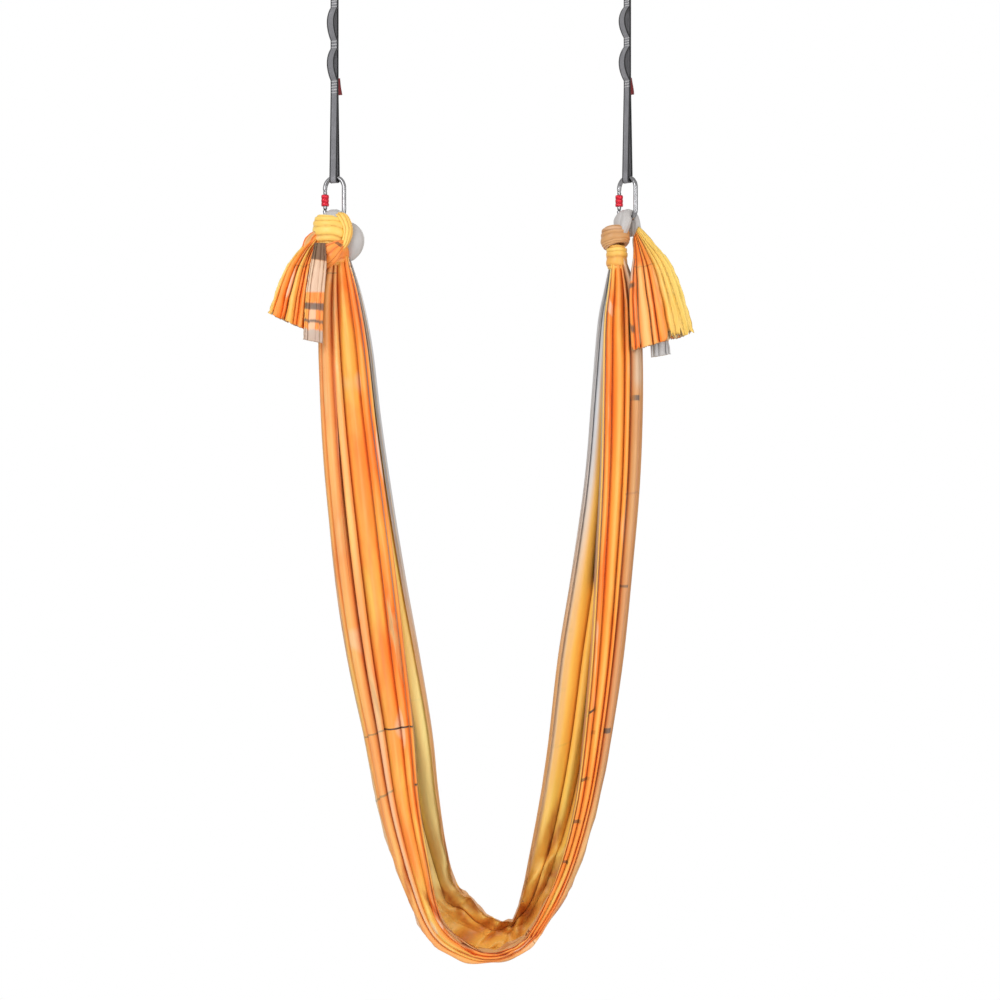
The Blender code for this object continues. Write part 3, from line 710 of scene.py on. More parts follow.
@dataclass(frozen=True)
class TricotReverse:
    """The unprinted side of the tricot, with the print faintly through it, a tan of painted shade towards the
    seat and painted shade in its folds.
    """

    name: str
    colour: Colour
    tint: Colour
    # Tan of painted shade for the reverse where it lies in shadow, strongest about seat_at along the cloth
    seat: Colour
    seat_at: float = 1.75

    def make(self) -> Material:
        """Return the reverse side's material."""
        recipe = Recipe(self.name)
        flat = recipe.flat()
        soft = recipe.noise(recipe.scaled(flat, (2.2, 0.9, 1.0)), 2.0, 3.0, 0.5, 0.4)
        colour = recipe.blend(soft.step(0.35, 0.75) * 0.5, self.colour, self.tint)
        along = recipe.parts(flat)[1]
        # Painted shade: towards the seat the reverse turns tan
        colour = recipe.blend((along - self.seat_at).size().step(1.25, 0.75), colour, self.seat)
        valley = recipe.valley()
        # Painted shade in the reverse side's folds, which lie behind the printed face's crests
        deep = recipe.blend((1.0 - valley).step(0.0, 0.9) * 0.35, (1, 1, 1), (0.62, 0.60, 0.60))
        colour = recipe.blend(1.0, colour, deep, "MULTIPLY")
        recipe.set(Base_Color=colour, **Tricot.surface(recipe, flat, soft))
        return recipe.material


PALETTE = (
    (0.50, 0.25, 0.110),
    (0.80, 0.42, 0.150),
    (0.92, 0.220, 0.025),
    (0.97, 0.300, 0.042),
    (0.97, 0.390, 0.070),
    (0.92, 0.500, 0.085),
    (0.90, 0.600, 0.150),
)
WARM_GOLD = (
    (0.84, 0.40, 0.07),
    (0.92, 0.58, 0.12),
    (0.92, 0.68, 0.17),
    (0.90, 0.56, 0.08),
)
TAN = (
    (0.40, 0.17, 0.060),
    (0.56, 0.27, 0.095),
    (0.66, 0.36, 0.140),
    (0.50, 0.22, 0.070),
)
SOOT = (0.085, 0.070, 0.062)
STONE = (0.60, 0.45, 0.33)
YELLOW = (0.82, 0.54, 0.115)
# The whole width or length of the flat cloth
WHOLE = (-1.0, 9.0)
SLING_ZONES = (
    # Outer folds: gold and tan on the left branch, brown on the right one
    Patch((0.14, 0.73), WHOLE, (0.78, 0.42, 0.15), 0.50),
    Patch((0.74, 0.835), (-1.0, 1.5), (0.80, 0.45, 0.18), 0.50, 0.2),
    Patch((0.30, 0.53), (-1.0, 1.6), PALE, 0.40, 0.2),
    Patch((0.745, 0.785), (0.95, 1.5), PALE, 0.50, 0.12),
    Patch((0.10, 0.727), (2.30, 3.7), (0.52, 0.235, 0.095), 0.78, 0.15, 0.012),
    Patch((0.58, 0.70), (3.02, 3.7), (0.56, 0.42, 0.29), 0.75, 0.02),
    Patch((0.735, 0.93), (2.20, 3.7), (0.97, 0.31, 0.04), 0.60, 0.15, 0.012),
    Patch((1.05, 1.16), (2.10, 3.7), (0.98, 0.60, 0.13), 0.75, 0.15),
    Patch((0.60, 0.70), (2.995, 3.004), SOOT, 0.85, 0.001),
    Patch((0.64, 0.73), (2.70, 2.704), SOOT, 0.7, 0.001),
    Patch((0.62, 0.73), (2.452, 2.462), SOOT, 0.85, 0.001),
    Patch((0.60, 0.66), (2.12, 2.15), (0.30, 0.24, 0.30), 0.6, 0.01),
    # Rear panel: gold, orange in the seat, paler on the lower left branch as painted light, and a tan strip
    # of painted shade beside its pale edge
    Patch((1.95, 3.0), WHOLE, (1.0, 0.53, 0.095), 0.84),
    # Painted light: the lower left branch of the rear panel made paler, where it lies in shade
    Patch((2.30, 3.0), (0.85, 1.46), (1.0, 0.70, 0.27), 0.8, 0.15),
    Patch((1.80, 2.44), (1.46, 2.10), (1.0, 0.46, 0.085), 0.80, 0.08),
    # Painted shade: a tan strip for the shadowed edge of the right branch
    Patch((2.458, 3.00), (2.3, 3.7), (0.66, 0.36, 0.15), 0.70, 0.3, 0.008),
    Patch((2.480, 3.00), (2.1, 3.7), (0.74, 0.62, 0.50), 0.75, 0.3, 0.008),
    Patch((2.466, 3.00), (2.80, 3.8), (0.52, 0.55, 0.59), 0.92, 0.20, 0.008),
)
TAIL_ZONES = {
    Side.LEFT: (
        Patch((-0.1, 0.06), WHOLE, YELLOW, 0.5),
        Patch((0.155, 0.235), WHOLE, (0.98, 0.24, 0.025), 0.6),
        Patch((0.33, 0.405), WHOLE, YELLOW, 0.6),
        Patch((0.48, 0.56), (0.13, 0.3), PALETTE[2], 0.5),
        Patch((0.57, 0.65), (0.15, 0.21), STONE, 0.8),
    ),
    Side.RIGHT: (
        Patch((-0.1, 0.315), WHOLE, YELLOW, 0.8),
        Patch((0.40, 0.52), (0.09, 0.3), (0.84, 0.50, 0.17), 0.6, 0.02),
        Patch((0.58, 0.70), (0.06, 0.12), STONE),
        Patch((0.55, 0.70), (0.125, 0.135), SOOT),
        Patch((0.57, 0.70), (0.205, 0.216), SOOT, 0.8),
    ),
}
STRIP_BANDS = tuple(Patch(WHOLE, band, tint) for band, tint in (
    ((0.0, 0.060), SOOT), ((0.060, 0.135), STONE), ((0.160, 0.176), SOOT), ((0.198, 0.204), SOOT),
    ((0.218, 0.30), (0.42, 0.36, 0.31))))


class Finishes:
    """Every material of the hammock, made once."""

    def __init__(self) -> None:
        """Make the materials."""
        # The polished and spring steels are darker than real steel: a painted reflection of dark surroundings
        self.steel = Steel("polished_steel", (0.34, 0.34, 0.35), 0.20, 0.10).make()
        self.zinc = Steel("zinc_plate", (0.58, 0.60, 0.62), 0.38, 0.16, 0.8).make()
        self.spring = Steel("spring_steel", (0.34, 0.34, 0.36), 0.30, 0.12).make()
        self.red = Anodised("red_anodised", (0.56, 0.010, 0.028), (0.80, 0.12, 0.12)).make()
        self.webbing = Webbing("grey_webbing", (0.255, 0.255, 0.275), (0.012, 0.012, 0.014), 0.019).make()
        self.label = Webbing("label_cloth", (0.19, 0.008, 0.010), (0.13, 0.005, 0.006), 0.020,
                             0.0006).make()
        self.thread = Thread("tack_thread", (0.74, 0.74, 0.75)).make()
        # A tricot's third colour is the painted shade of its folds
        self.printed = Tricot("printed_tricot", PALETTE, patches=SLING_ZONES).make()
        self.gold = Tricot("gold_tricot", WARM_GOLD, (0.66, 0.42, 0.22), pale=(0.92, 0.76, 0.52), shift=3.1,
                           lines=0.0).make()
        self.tan = Tricot("tan_tricot", TAN, (0.45, 0.30, 0.22), shift=1.7, lines=0.0).make()
        self.tail = {side: Tricot(f"tail_tricot_{side.value}", PALETTE, shift=5.3, lines=0.4,
                                  patches=zones).make() for side, zones in TAIL_ZONES.items()}
        self.strip = Tricot("banded_tricot", PALETTE, (0.4, 0.25, 0.2), shift=7.7, lines=0.0,
                            patches=STRIP_BANDS).make()
        self.reverse = TricotReverse("tricot_reverse", (0.56, 0.55, 0.55), (0.62, 0.50, 0.38),
                                     (0.80, 0.41, 0.15)).make()
        self.tail_reverse = TricotReverse("tail_reverse", (0.74, 0.56, 0.30), (0.78, 0.44, 0.20),
                                          (0.72, 0.43, 0.20)).make()


# Cloth


@dataclass(frozen=True)
class Leg:
    """One run of a folded section, in shares across the band and of its half depth.

    Each point is the share across, how that share follows the rim, the share of the half depth
    towards the back, and how that share grows as the seat opens. Each pleat is the width of its
    panel against the others, how deep the tuck after it is and how much painted shade that tuck
    gets. A way of 1 or -1 keeps the tucks straight back, and only where the run goes in or out.
    """

    points: tuple[tuple[float, float, float, float], ...]
    pleats: tuple[Triple, ...]
    tuck: float
    seat_tuck: float
    way: int = 0
    plain: bool = False


# Widths of drawn pleats against each other
PLEAT_WIDTHS = (0.6, 0.8, 1.2, 1.7)


def drawn_pleats(count: int, seed: int) -> tuple[Triple, ...]:
    """Return pleats of drawn widths and depths."""
    draw = random.Random(seed)
    return tuple((draw.choice(PLEAT_WIDTHS) * draw.uniform(0.85, 1.15), draw.uniform(0.7, 1.0),
                  draw.uniform(0.5, 1.0)) for _ in range(count))


@dataclass(frozen=True)
class Station:
    """A section of gathered cloth: its two edges, depth, openness, rim and tuck share."""

    outer: Triple
    inner: Triple
    depth: float
    seat: float
    rim: float
    tuck: float

    def row(self) -> list[float]:
        """Return the station as one row of numbers."""
        return [*self.outer, *self.inner, self.depth, self.seat, self.rim, self.tuck]


@dataclass(frozen=True)
class Key:
    """One point across the cloth: its leg, place, lift into the tuck, slant, painted shade and seed.

    Fade is how much of the lift is left in the opened seat.
    """

    leg: int
    place: float
    lift: float
    slide: float
    shade: float
    seed: float
    fade: float = 1.0


@dataclass(frozen=True)
class Crease:
    """A fold of the opened seat along a line, in X and Z as seen from the front."""

    leg: int
    start: Pair
    end: Pair
    half: float
    height: float
    sharpness: float = 1.2
    end_height: float = 0.45
    shadow: float = 0.8

    def profile(self, x: float, z: float) -> float:
        """Return the fold's height at a point, from 0 to 1."""
        along = (self.end[0] - self.start[0], self.end[1] - self.start[1])
        off = (x - self.start[0], z - self.start[1])
        share = (off[0] * along[0] + off[1] * along[1]) / (along[0] ** 2 + along[1] ** 2)
        near = min(max(share, 0.0), 1.0)
        far = hypot(off[0] - along[0] * near, off[1] - along[1] * near)
        raised = mix(self.end_height, 1.0, sin(pi * near))
        return max(1 - far / self.half, 0.0) ** self.sharpness * raised

    def lift(self, spot: Vector) -> float:
        """Return how far the fold stands forward at a point."""
        return self.height * self.profile(spot.x, spot.z)

    def shade(self, spot: Vector) -> float:
        """Return the painted shade that the fold puts on a point: in its trough, or the shadow under its
        ridge.
        """
        if self.height < 0:
            return self.profile(spot.x, spot.z)
        aside, below = 0.3 * self.half, 0.9 * self.half
        return self.shadow * self.profile(spot.x - aside, spot.z + below)


# Panels and tucks: widths as shares of their run, lifts in depths of a tuck
BROAD_PANEL, PANEL_INSET, SWELL_ROOM, EDGE_LIFT = 0.07, 0.13, 0.16, 0.09
MOST_SLANT = 0.4
TUCK_WALLS = ((-0.05, 0.5), (-0.03, 1.0), (0.03, 1.0), (0.05, 0.5))
# How much of a tuck may be left in the opened seat
FADES = (0.12, 0.3, 1.0)
# Seeds of the noise, and its waves over the cloth's length
RUN_SEED, PLACE_SEED = 31.7, 1.1
DRIFT_WAVES, TUCK_WAVES, TUCK_CHANGE = 5.0, 4.0, 0.3
# The hem, and the rows that are read once
HEM_WAVES, HEM_FROM, ROWS_READ = 4.0, 0.6, 4000
# Where a station's row of numbers holds how open the seat is
SEAT_COLUMN = 7
# How near the points for a tangent lie, and the openness from which the seat's folds show
NEAR, OPENED = 0.02, 0.3
# How deep the small dents are, and their waves over the cloth's length
DENT, DENT_WAVES = 0.0022, 22.0
# The seat's middle along the cloth, the openness under which it has no crumples, its runs' widths
SEAT_MIDDLE, SHUT, REAR_WIDTH, FRONT_WIDTH = 0.53, 0.05, 0.34, 0.20
# How much painted shade the troughs of the crumples get, and which way the seat's folds stand out
CRUMPLE_SHADE = 0.6
CREASE_WAY = FRONT * 0.72 + UP * 0.55


@dataclass
class GatheredCloth:
    """A cloth that is folded into pleats and follows a row of stations."""

    name: str
    flat: Pair
    stations: Sequence[Station]
    legs: Sequence[Leg]
    along: int
    seed: int
    thickness: float = 0.0004
    hem: float = 0.0
    crumple: float = 0.0
    mirrored: bool = False
    dense: float = 0.0
    drift: float = 0.016
    creases: Sequence[Crease] = ()
    soft_reach: float = 0.070
    spare: float = 0.015
    keys: list[Key] = field(init=False)

    def __post_init__(self) -> None:
        """Lay out the points across the cloth, pleat by pleat."""
        draw = random.Random(self.seed)
        self.keys = []
        for number, leg in enumerate(self.legs):
            total = sum(width for width, _, _ in leg.pleats)
            start = 0.0
            for index, (width, deep, dark) in enumerate(leg.pleats):
                self._panel(draw, number, start / total, width / total)
                start += width
                if index < len(leg.pleats) - 1:
                    following = leg.pleats[index + 1][0]
                    self._tuck(draw, number, start / total, min(width, following) / total, deep, dark)
        last = len(self.legs) - 1
        self.keys.append(Key(last, 1.0, 0.0, 0.0, 0.0, self.keys[-1].seed))

    def _panel(self, draw: random.Random, number: int, start: float, width: float) -> None:
        """Add the points of the panel between two tucks, which swells and rounds off at its sides."""
        leg = self.legs[number]
        steps = 2 if leg.plain else 3 if width < BROAD_PANEL else 5
        swell = draw.uniform(1.0, 1.6) * min(width, SWELL_ROOM)
        inset = PANEL_INSET * width
        for step in range(steps):
            t = step / (steps - 1)
            lift = EDGE_LIFT * abs(2 * t - 1) ** 5 - swell * sin(pi * t)
            seed = number * RUN_SEED + (start + width * t) * PLACE_SEED
            self.keys.append(Key(number, start + inset + (width - 2 * inset) * t, lift, 0.0, 0.0, seed))

    def _tuck(self, draw: random.Random, number: int, edge: float, room: float, deep: float,
              dark: float) -> None:
        """Add the points of one tuck: down one wall, its tip and up the other wall."""
        plain = self.legs[number].plain
        slant = draw.uniform(-MOST_SLANT, MOST_SLANT) * (0.0 if plain else 1.0)
        fade = draw.choice(FADES)
        seed = number * RUN_SEED + edge * PLACE_SEED
        for offset, share in ((0.0, 1.0),) if plain else TUCK_WALLS:
            self.keys.append(Key(number, edge + offset * room, deep * share, slant * share * deep, dark, seed,
                                 fade))

    @property
    def across(self) -> int:
        """The number of faces across the cloth."""
        return len(self.keys) - 1

    def point(self, key: Key, row: Sequence[float], along: float) -> Vector:
        """Return the place of one point of the cloth.

        Args:
            key: the point across the cloth.
            row: the station's numbers at this place along the cloth.
            along: the share along the cloth.

        Returns:
            The point in the model's frame.
        """
        outer, inner = Vector(row[0:3]), Vector(row[3:6])
        depth, seat, rim, tuck_share = row[6:10]
        leg = self.legs[key.leg]
        place = key.place + self.drift * wander(key.seed, along, DRIFT_WAVES)
        points = [(a + ar * rim, b + bs * seat) for a, ar, b, bs in leg.points]
        a, b = spline(points, place)
        a_next, b_next = spline(points, min(place + NEAR, 1.0))
        a_back, b_back = spline(points, max(place - NEAR, 0.0))
        across = inner - outer
        width = across.length
        across.normalize()
        back = -FRONT
        tangent = across * ((a_next - a_back) * width) + back * ((b_next - b_back) * depth / 2)
        tangent.normalize()
        inward = back * tangent.dot(across) - across * tangent.dot(back)
        tuck = mix(leg.tuck, leg.seat_tuck, min(seat, 1.0)) * tuck_share * mix(1.0, key.fade, min(seat, 1.0))
        if leg.way:
            tuck *= max(inward.dot(back) * leg.way, 0.0) ** 2
            inward = back
        tuck *= 1 + TUCK_CHANGE * wander(key.seed + 5.0, along, TUCK_WAVES)
        spot = outer + across * (a * width) + back * (b * depth / 2)
        spot += inward * (key.lift * tuck) + tangent * (key.slide * tuck)
        spot += inward * self.rumple(key, seat, along)
        if seat > OPENED:
            raised = sum(fold.lift(spot) for fold in self.creases if fold.leg == key.leg)
            spot += CREASE_WAY * raised
        over = max(abs(spot.y) - self.soft_reach, 0.0)
        if over:
            spot.y -= copysign(over - self.spare * (1 - exp(-over / self.spare)), spot.y)
        return spot

    def crumple_at(self, key: Key, seat: float, along: float) -> float:
        """Return how high a point lies on the crumples of the opened seat, about -1 to 1."""
        if not self.crumple or seat < SHUT:
            return 0.0
        y = (along - SEAT_MIDDLE) * self.flat[1]
        if key.leg == len(self.legs) - 1:
            # The rear panel's crumples fan out from the seat's middle
            x = key.place * REAR_WIDTH
            spot = Vector(((x + 0.75 * abs(y)) * 13.0, y * 9.0, 3.3))
            strong = ease(seat, 0.45, 1.0)
        else:
            # The others lean one way, and are weaker
            x = key.place * FRONT_WIDTH
            spot = Vector(((x - 0.35 * y) * 11.0, (y + 0.35 * x) * 6.5, key.leg * 5.3))
            strong = 0.45 * ease(seat, 0.15, 0.8)
        ridge = 1 - abs(noise.noise(spot)) * 3.2
        return strong * ((ridge - 0.35) * 0.9 + noise.noise(spot * 2.1) * 0.5)

    def rumple(self, key: Key, seat: float, along: float) -> float:
        """Return how far a point is pushed in by small dents and, in the seat, by crumples."""
        dents = DENT * wander(key.place * 9 + key.leg, along, DENT_WAVES)
        return dents - self.crumple * self.crumple_at(key, seat, along)

    def build(self) -> Shape:
        """Return the cloth as one sheet, with the painted shade of its folds as an attribute."""
        rows = [station.row() for station in self.stations]
        width, length = self.flat
        bm = flat_grid(self.across, self.along, lambda u, v: (u * width, self.spread(v) * length))
        valley = bm.verts.layers.float.new("valley")
        read = {}
        for vert in bm.verts:
            key = self.keys[round((vert.co.x + 0.5) * self.across)]
            along = self.spread(vert.co.y + 0.5)
            uneven = self.hem * wander(key.seed * HEM_WAVES, along, 1.0) * ease(along, HEM_FROM, 1.0)
            reach = along * (1 + uneven)
            slot = round(reach * ROWS_READ)
            if slot not in read:
                read[slot] = spline(rows, reach)
            vert.co = self.point(key, read[slot], along)
            seat = read[slot][SEAT_COLUMN]
            # Painted shade: deep in the tucks, in the troughs of the seat's crumples, and in and under the
            # seat's folds
            vert[valley] = max(key.lift, 0.0) * key.shade * mix(1.0, key.fade, min(seat, 1.0))
            if seat > OPENED:
                sunk = -CRUMPLE_SHADE * self.crumple_at(key, seat, along)
                folds = [fold.shade(vert.co) for fold in self.creases if fold.leg == key.leg]
                vert[valley] = max(vert[valley], sunk, *folds)
        if not self.mirrored:
            bmesh.ops.reverse_faces(bm, faces=bm.faces)
        return bm

    def spread(self, share: float) -> float:
        """Return where a row lies, with more rows at the ends and in the middle of the cloth."""
        return share - self.dense * sin(2 * TAU * share) / (2 * TAU)


# Noise of a bundle: how far its pleats sway, and how large its loops through the noise are
SWAY, SWAY_LOOP, DENT_LOOP = 0.08, 0.8, 1.3


@dataclass
class Bundle:
    """Gathered cloth that runs along a path, as a tube with pleats down its length.

    A row of the path is a point, the half width along the side vector and the half thickness.
    """

    name: str
    rows: Sequence[Sequence[float]]
    side: Triple
    pleats: int
    ripple: float
    seed: int
    closed: bool = False
    around: int = 120
    along: int = 84
    squareness: float = 2.4
    drift: float = 0.5
    fullness: float = 0.55
    least_thick: float = 0.004
    edges: list[Pair] = field(init=False)

    def __post_init__(self) -> None:
        """Draw where the pleats meet round the tube, and how deep they are."""
        draw = random.Random(self.seed)
        widths = [draw.uniform(0.6, 1.7) for _ in range(self.pleats)]
        total = sum(widths)
        self.edges = []
        start = 0.0
        for width in widths:
            self.edges.append((start / total, draw.uniform(0.45, 1.0)))
            start += width

    def pleat(self, around: float) -> Pair:
        """Return how full the cloth is at a place round the tube, and how deep its pleat is."""
        around %= 1.0
        index = max(i for i, (start, _) in enumerate(self.edges) if start <= around + 1e-9)
        start, deep = self.edges[index]
        end = self.edges[index + 1][0] if index + 1 < len(self.edges) else 1.0
        t = min(max((around - start) / (end - start), 0.0), 1.0)
        return sin(pi * t) ** self.fullness, deep

    def frame(self, along: float) -> tuple[Vector, Vector, Vector, float, float]:
        """Return the path's point, side, normal and half sizes at a share along it."""
        row = spline(self.rows, along)
        near, rim = 0.01, 0.015
        ahead = Vector(spline(self.rows, along + near)[:3]) if along < 1 - rim else Vector(row[:3])
        behind = Vector(spline(self.rows, along - near)[:3]) if along > rim else Vector(row[:3])
        if self.closed and not rim < along < 1 - rim:
            ahead = Vector(spline(self.rows, (along + near) % 1.0)[:3])
            behind = Vector(spline(self.rows, (along - near) % 1.0)[:3])
        tangent = (ahead - behind).normalized()
        normal = tangent.cross(Vector(self.side)).normalized()
        return Vector(row[:3]), normal.cross(tangent), normal, row[3], row[4]

    def point(self, around: float, along: float) -> tuple[Vector, float]:
        """Return a point of the tube and how deep it lies in a pleat, which sets its painted shade."""
        centre, side, normal, half_side, half_thick = self.frame(along)
        loop = TAU * (along % 1.0 if self.closed else along)
        sway = self.drift * noise.noise(Vector((cos(loop) * SWAY_LOOP, sin(loop) * SWAY_LOOP, self.seed)))
        full, deep = self.pleat(around + sway * SWAY)
        angle = TAU * around
        cosine, sine = cos(angle), sin(angle)
        power = 2 / self.squareness
        across = copysign(abs(cosine) ** power, cosine)
        out = copysign(abs(sine) ** power, sine)
        dent = noise.noise(Vector((cosine * DENT_LOOP, sine * DENT_LOOP, along * 5 + self.seed * 3.1)))
        pressed = self.ripple * deep * (1 - full) - self.ripple * 0.5 * dent
        shrink = 1 - pressed / max(half_thick, self.least_thick)
        spot = centre + side * (half_side * across * mix(1.0, shrink, 0.5))
        return spot + normal * (half_thick * out * shrink), (1 - full) * deep

    def build(self) -> Shape:
        """Return the closed tube."""
        steps = 40
        path = [Vector(spline(self.rows, step / steps)[:3]) for step in range(steps + 1)]
        length = sum((b - a).length for a, b in zip(path, path[1:]))
        girth = 1.5 * TAU * max(row[3] for row in self.rows)
        shift_u, shift_v = self.seed * 0.37, self.seed * 0.21
        bm = flat_grid(self.around, self.along, lambda u, v: (u * girth + shift_u, v * length + shift_v))
        valley = bm.verts.layers.float.new("valley")
        for vert in bm.verts:
            spot, deep = self.point(vert.co.x + 0.5, vert.co.y + 0.5)
            # Painted shade, deepest in the pleats
            vert[valley] = deep
            vert.co = spot
        bmesh.ops.remove_doubles(bm, verts=bm.verts, dist=2 * MERGE)
        close_rims(bm)
        return face_out(bm)


def ring_rows(centre: Triple, half: Pair, tilt: float, pitch: float, height: float, puff: float,
              pinch: float, pinch_at: float) -> list[list[float]]:
    """Return the path of one turn of cloth round a knot.

    Args:
        centre: the middle of the turn.
        half: its half width and half depth, to the middle of the cloth.
        tilt: degrees that its right side is raised.
        pitch: degrees that its front is raised.
        height: the half height of the turn.
        puff: its half thickness.
        pinch: the share of its height that it loses where it is drawn in.
        pinch_at: where that is, in degrees from the right round by the front.

    Returns:
        The rows of a closed Bundle, from the back round by the left.
    """
    turn = Matrix.Rotation(-radians(tilt), 3, "Y") @ Matrix.Rotation(-radians(pitch), 3, "X")
    rows, steps = [], 24
    for step in range(steps + 1):
        angle = TAU * step / steps + pi / 2
        spot = turn @ Vector((half[0] * cos(angle), half[1] * sin(angle), 0.0))
        near = 0.5 + 0.5 * cos(-angle - radians(pinch_at))
        rows.append([*(Vector(centre) + spot), height * (1 - pinch * near), puff * (1 - 0.4 * pinch * near)])
    return rows


# Outer edge and inner edge, each as X in half spacings and depth down as a share of the drop, then
# fullness (0 neck, 1 branch, 2 seat) and how far the front run reaches across
SLING_OUTLINE = (
    (-1.030, -0.020, -0.900, -0.020, 0.00, 0.96),
    (-1.078, 0.035, -0.826, 0.035, 0.50, 0.97),
    (-1.096, 0.110, -0.758, 0.110, 0.90, 0.97),
    (-1.078, 0.215, -0.700, 0.215, 1.00, 0.97),
    (-1.040, 0.330, -0.622, 0.330, 1.00, 0.96),
    (-0.982, 0.446, -0.534, 0.446, 1.00, 0.92),
    (-0.900, 0.560, -0.434, 0.560, 1.10, 0.84),
    (-0.790, 0.672, -0.344, 0.672, 1.25, 0.76),
    (-0.690, 0.776, -0.300, 0.756, 1.50, 0.70),
    (-0.552, 0.872, -0.246, 0.836, 1.75, 0.66),
    (-0.384, 0.953, -0.168, 0.896, 1.95, 0.52),
    (-0.196, 0.986, -0.022, 0.924, 2.00, 0.42),
    (0.052, 0.996, 0.112, 0.948, 2.00, 0.36),
    (0.290, 0.979, 0.232, 0.940, 2.00, 0.40),
    (0.502, 0.926, 0.284, 0.905, 1.90, 0.42),
    (0.666, 0.856, 0.330, 0.858, 1.70, 0.40),
    (0.794, 0.768, 0.402, 0.776, 1.45, 0.40),
    (0.884, 0.672, 0.466, 0.686, 1.25, 0.45),
    (0.962, 0.558, 0.536, 0.558, 1.10, 0.50),
    (1.026, 0.430, 0.634, 0.430, 1.00, 0.62),
    (1.074, 0.300, 0.720, 0.300, 1.00, 0.74),
    (1.092, 0.170, 0.772, 0.170, 1.00, 0.84),
    (1.080, 0.075, 0.812, 0.075, 0.75, 0.92),
    (1.046, 0.028, 0.850, 0.028, 0.40, 0.94),
    (0.975, -0.020, 0.890, -0.020, 0.00, 0.95),
)


def sling_stations() -> list[Station]:
    """Return the sling's sections from the left knot down to the seat and up to the right one."""
    neck, branch, seat_depth, neck_tuck, tuck_growth = 0.042, 0.074, 0.146, 0.12, 1.6
    stations = []
    for *edges, full, rim in SLING_OUTLINE:
        outer, inner = [(x * SIZES.half_spacing, 0.0, SIZES.sling_top_z - down * SIZES.sling_drop)
                        for x, down in (edges[:2], edges[2:])]
        opened = max(full - 1, 0.0)
        depth = mix(mix(neck, branch, min(full, 1.0)), seat_depth, opened)
        tuck = mix(neck_tuck, 1.0, min(full * tuck_growth, 1.0))
        stations.append(Station(outer, inner, depth, opened, rim, tuck))
    return stations


# Each pleat: its width, the depth of its tuck and that tuck's painted shade
SLING_LEGS = (
    Leg(((0.10, 0, 0.45, 0.30), (0.0, 0, 0.0, 0), (0.05, 0, -0.80, -0.05), (0.0, 0.5, -0.95, 0),
         (0, 1.0, -0.88, 0)),
        ((17, 0.9, 0.9), (14, 1.0, 0.8), (13, 0.9, 1.0), (9, 1.0, 1.0), (12, 0.9, 0.9), (8, 1.0, 1.0),
         (11, 0.7, 1.0), (27, 1.0, 1.45), (14, 1.0, 1.6), (24, 0.7, 0.35), (16, 0.9, 0.6), (9, 0.8, 0.5)),
        0.045, 0.026),
    Leg(((-0.02, 1.0, -0.84, 0), (-0.05, 0.8, -0.55, -0.20), (0.08, 0.25, -0.32, -0.30)), drawn_pleats(20, 4),
        0.042, 0.016, way=-1, plain=True),
    Leg(((0.08, 0.22, -0.12, -0.40), (0.10, 0, 0.0, 0.0), (0.16, 0, 0.06, 0.66), (0.60, 0, 0.10, 0.80),
         (0.98, 0, 0.06, 0.70), (1.0, 0, -0.06, 0.61), (0.968, 0, -0.10, 0.58)),
        ((14, 0.9, 0.8), (15, 1.0, 0.7), (9, 1.0, 0.9), (13, 0.9, 0.5), (20, 1.0, 0.45), (12, 0.9, 0.7),
         (24, 1.0, 0.35), (11, 0.8, 0.5), (18, 1.0, 0.4), (22, 1.0, 0.5)),
        0.047, 0.020, way=1),
)


# Folds of the seat: the run they lie in, X and Z of their ends, half width and height
SEAT_CREASES = tuple(Crease(leg, (x0, z0), (x1, z1), *rest) for leg, x0, z0, x1, z1, *rest in (
    (2, 0.200, -2.200, 0.156, -2.232, 0.026, 0.034),
    (2, 0.156, -2.232, 0.112, -2.290, 0.024, 0.030),
    (2, 0.206, -2.246, 0.150, -2.268, 0.016, 0.026),
    (2, 0.200, -2.232, 0.150, -2.256, 0.010, -0.016),
    (2, 0.096, -2.322, 0.080, -2.386, 0.017, 0.036),
    (2, 0.074, -2.336, 0.072, -2.388, 0.010, -0.020),
    (2, 0.150, -2.286, 0.128, -2.372, 0.022, 0.020),
    (2, -0.100, -2.288, -0.052, -2.328, 0.016, -0.034),
    (2, -0.070, -2.300, -0.030, -2.362, 0.018, 0.024),
    (2, -0.046, -2.282, -0.004, -2.338, 0.014, 0.022),
    (2, -0.028, -2.298, 0.018, -2.346, 0.009, -0.018),
    (2, 0.010, -2.354, 0.080, -2.390, 0.012, 0.020),
    (2, 0.190, -2.120, 0.150, -2.215, 0.014, -0.012),
    (2, 0.176, -2.060, 0.140, -2.160, 0.020, 0.012),
    (0, -0.140, -2.254, -0.083, -2.346, 0.008, -0.012),
    (0, -0.083, -2.346, -0.014, -2.410, 0.008, -0.012),
    (0, -0.120, -2.240, -0.062, -2.336, 0.013, 0.014),
    (0, -0.066, -2.310, -0.002, -2.384, 0.013, 0.014),
    (0, -0.002, -2.384, 0.078, -2.405, 0.012, 0.012),
    (0, 0.020, -2.398, 0.147, -2.358, 0.007, -0.012),
    (0, 0.147, -2.358, 0.209, -2.254, 0.009, -0.014),
    (0, -0.180, -2.200, -0.150, -2.330, 0.010, -0.010),
))


@dataclass
class Sling:
    """The one broad cloth between the knots."""

    finishes: Finishes
    flat: Pair = (2.8, 3.45)

    def build(self, with_pieces: Sequence[Object]) -> Object:
        """Build the sling.

        Args:
            with_pieces: the knots' pieces, which are turns of the same cloth. Not used.

        Returns:
            The sling's object.
        """
        cloth = GatheredCloth("sling", self.flat, sling_stations(), SLING_LEGS, along=208, seed=11,
                              crumple=0.013, dense=0.68, creases=SEAT_CREASES)
        faces = [self.finishes.printed, self.finishes.reverse]
        obj = cloth_piece("sling", cloth.build(), faces, "sling_cloth")
        thicken(obj, cloth.thickness, reverse=True)
        return obj


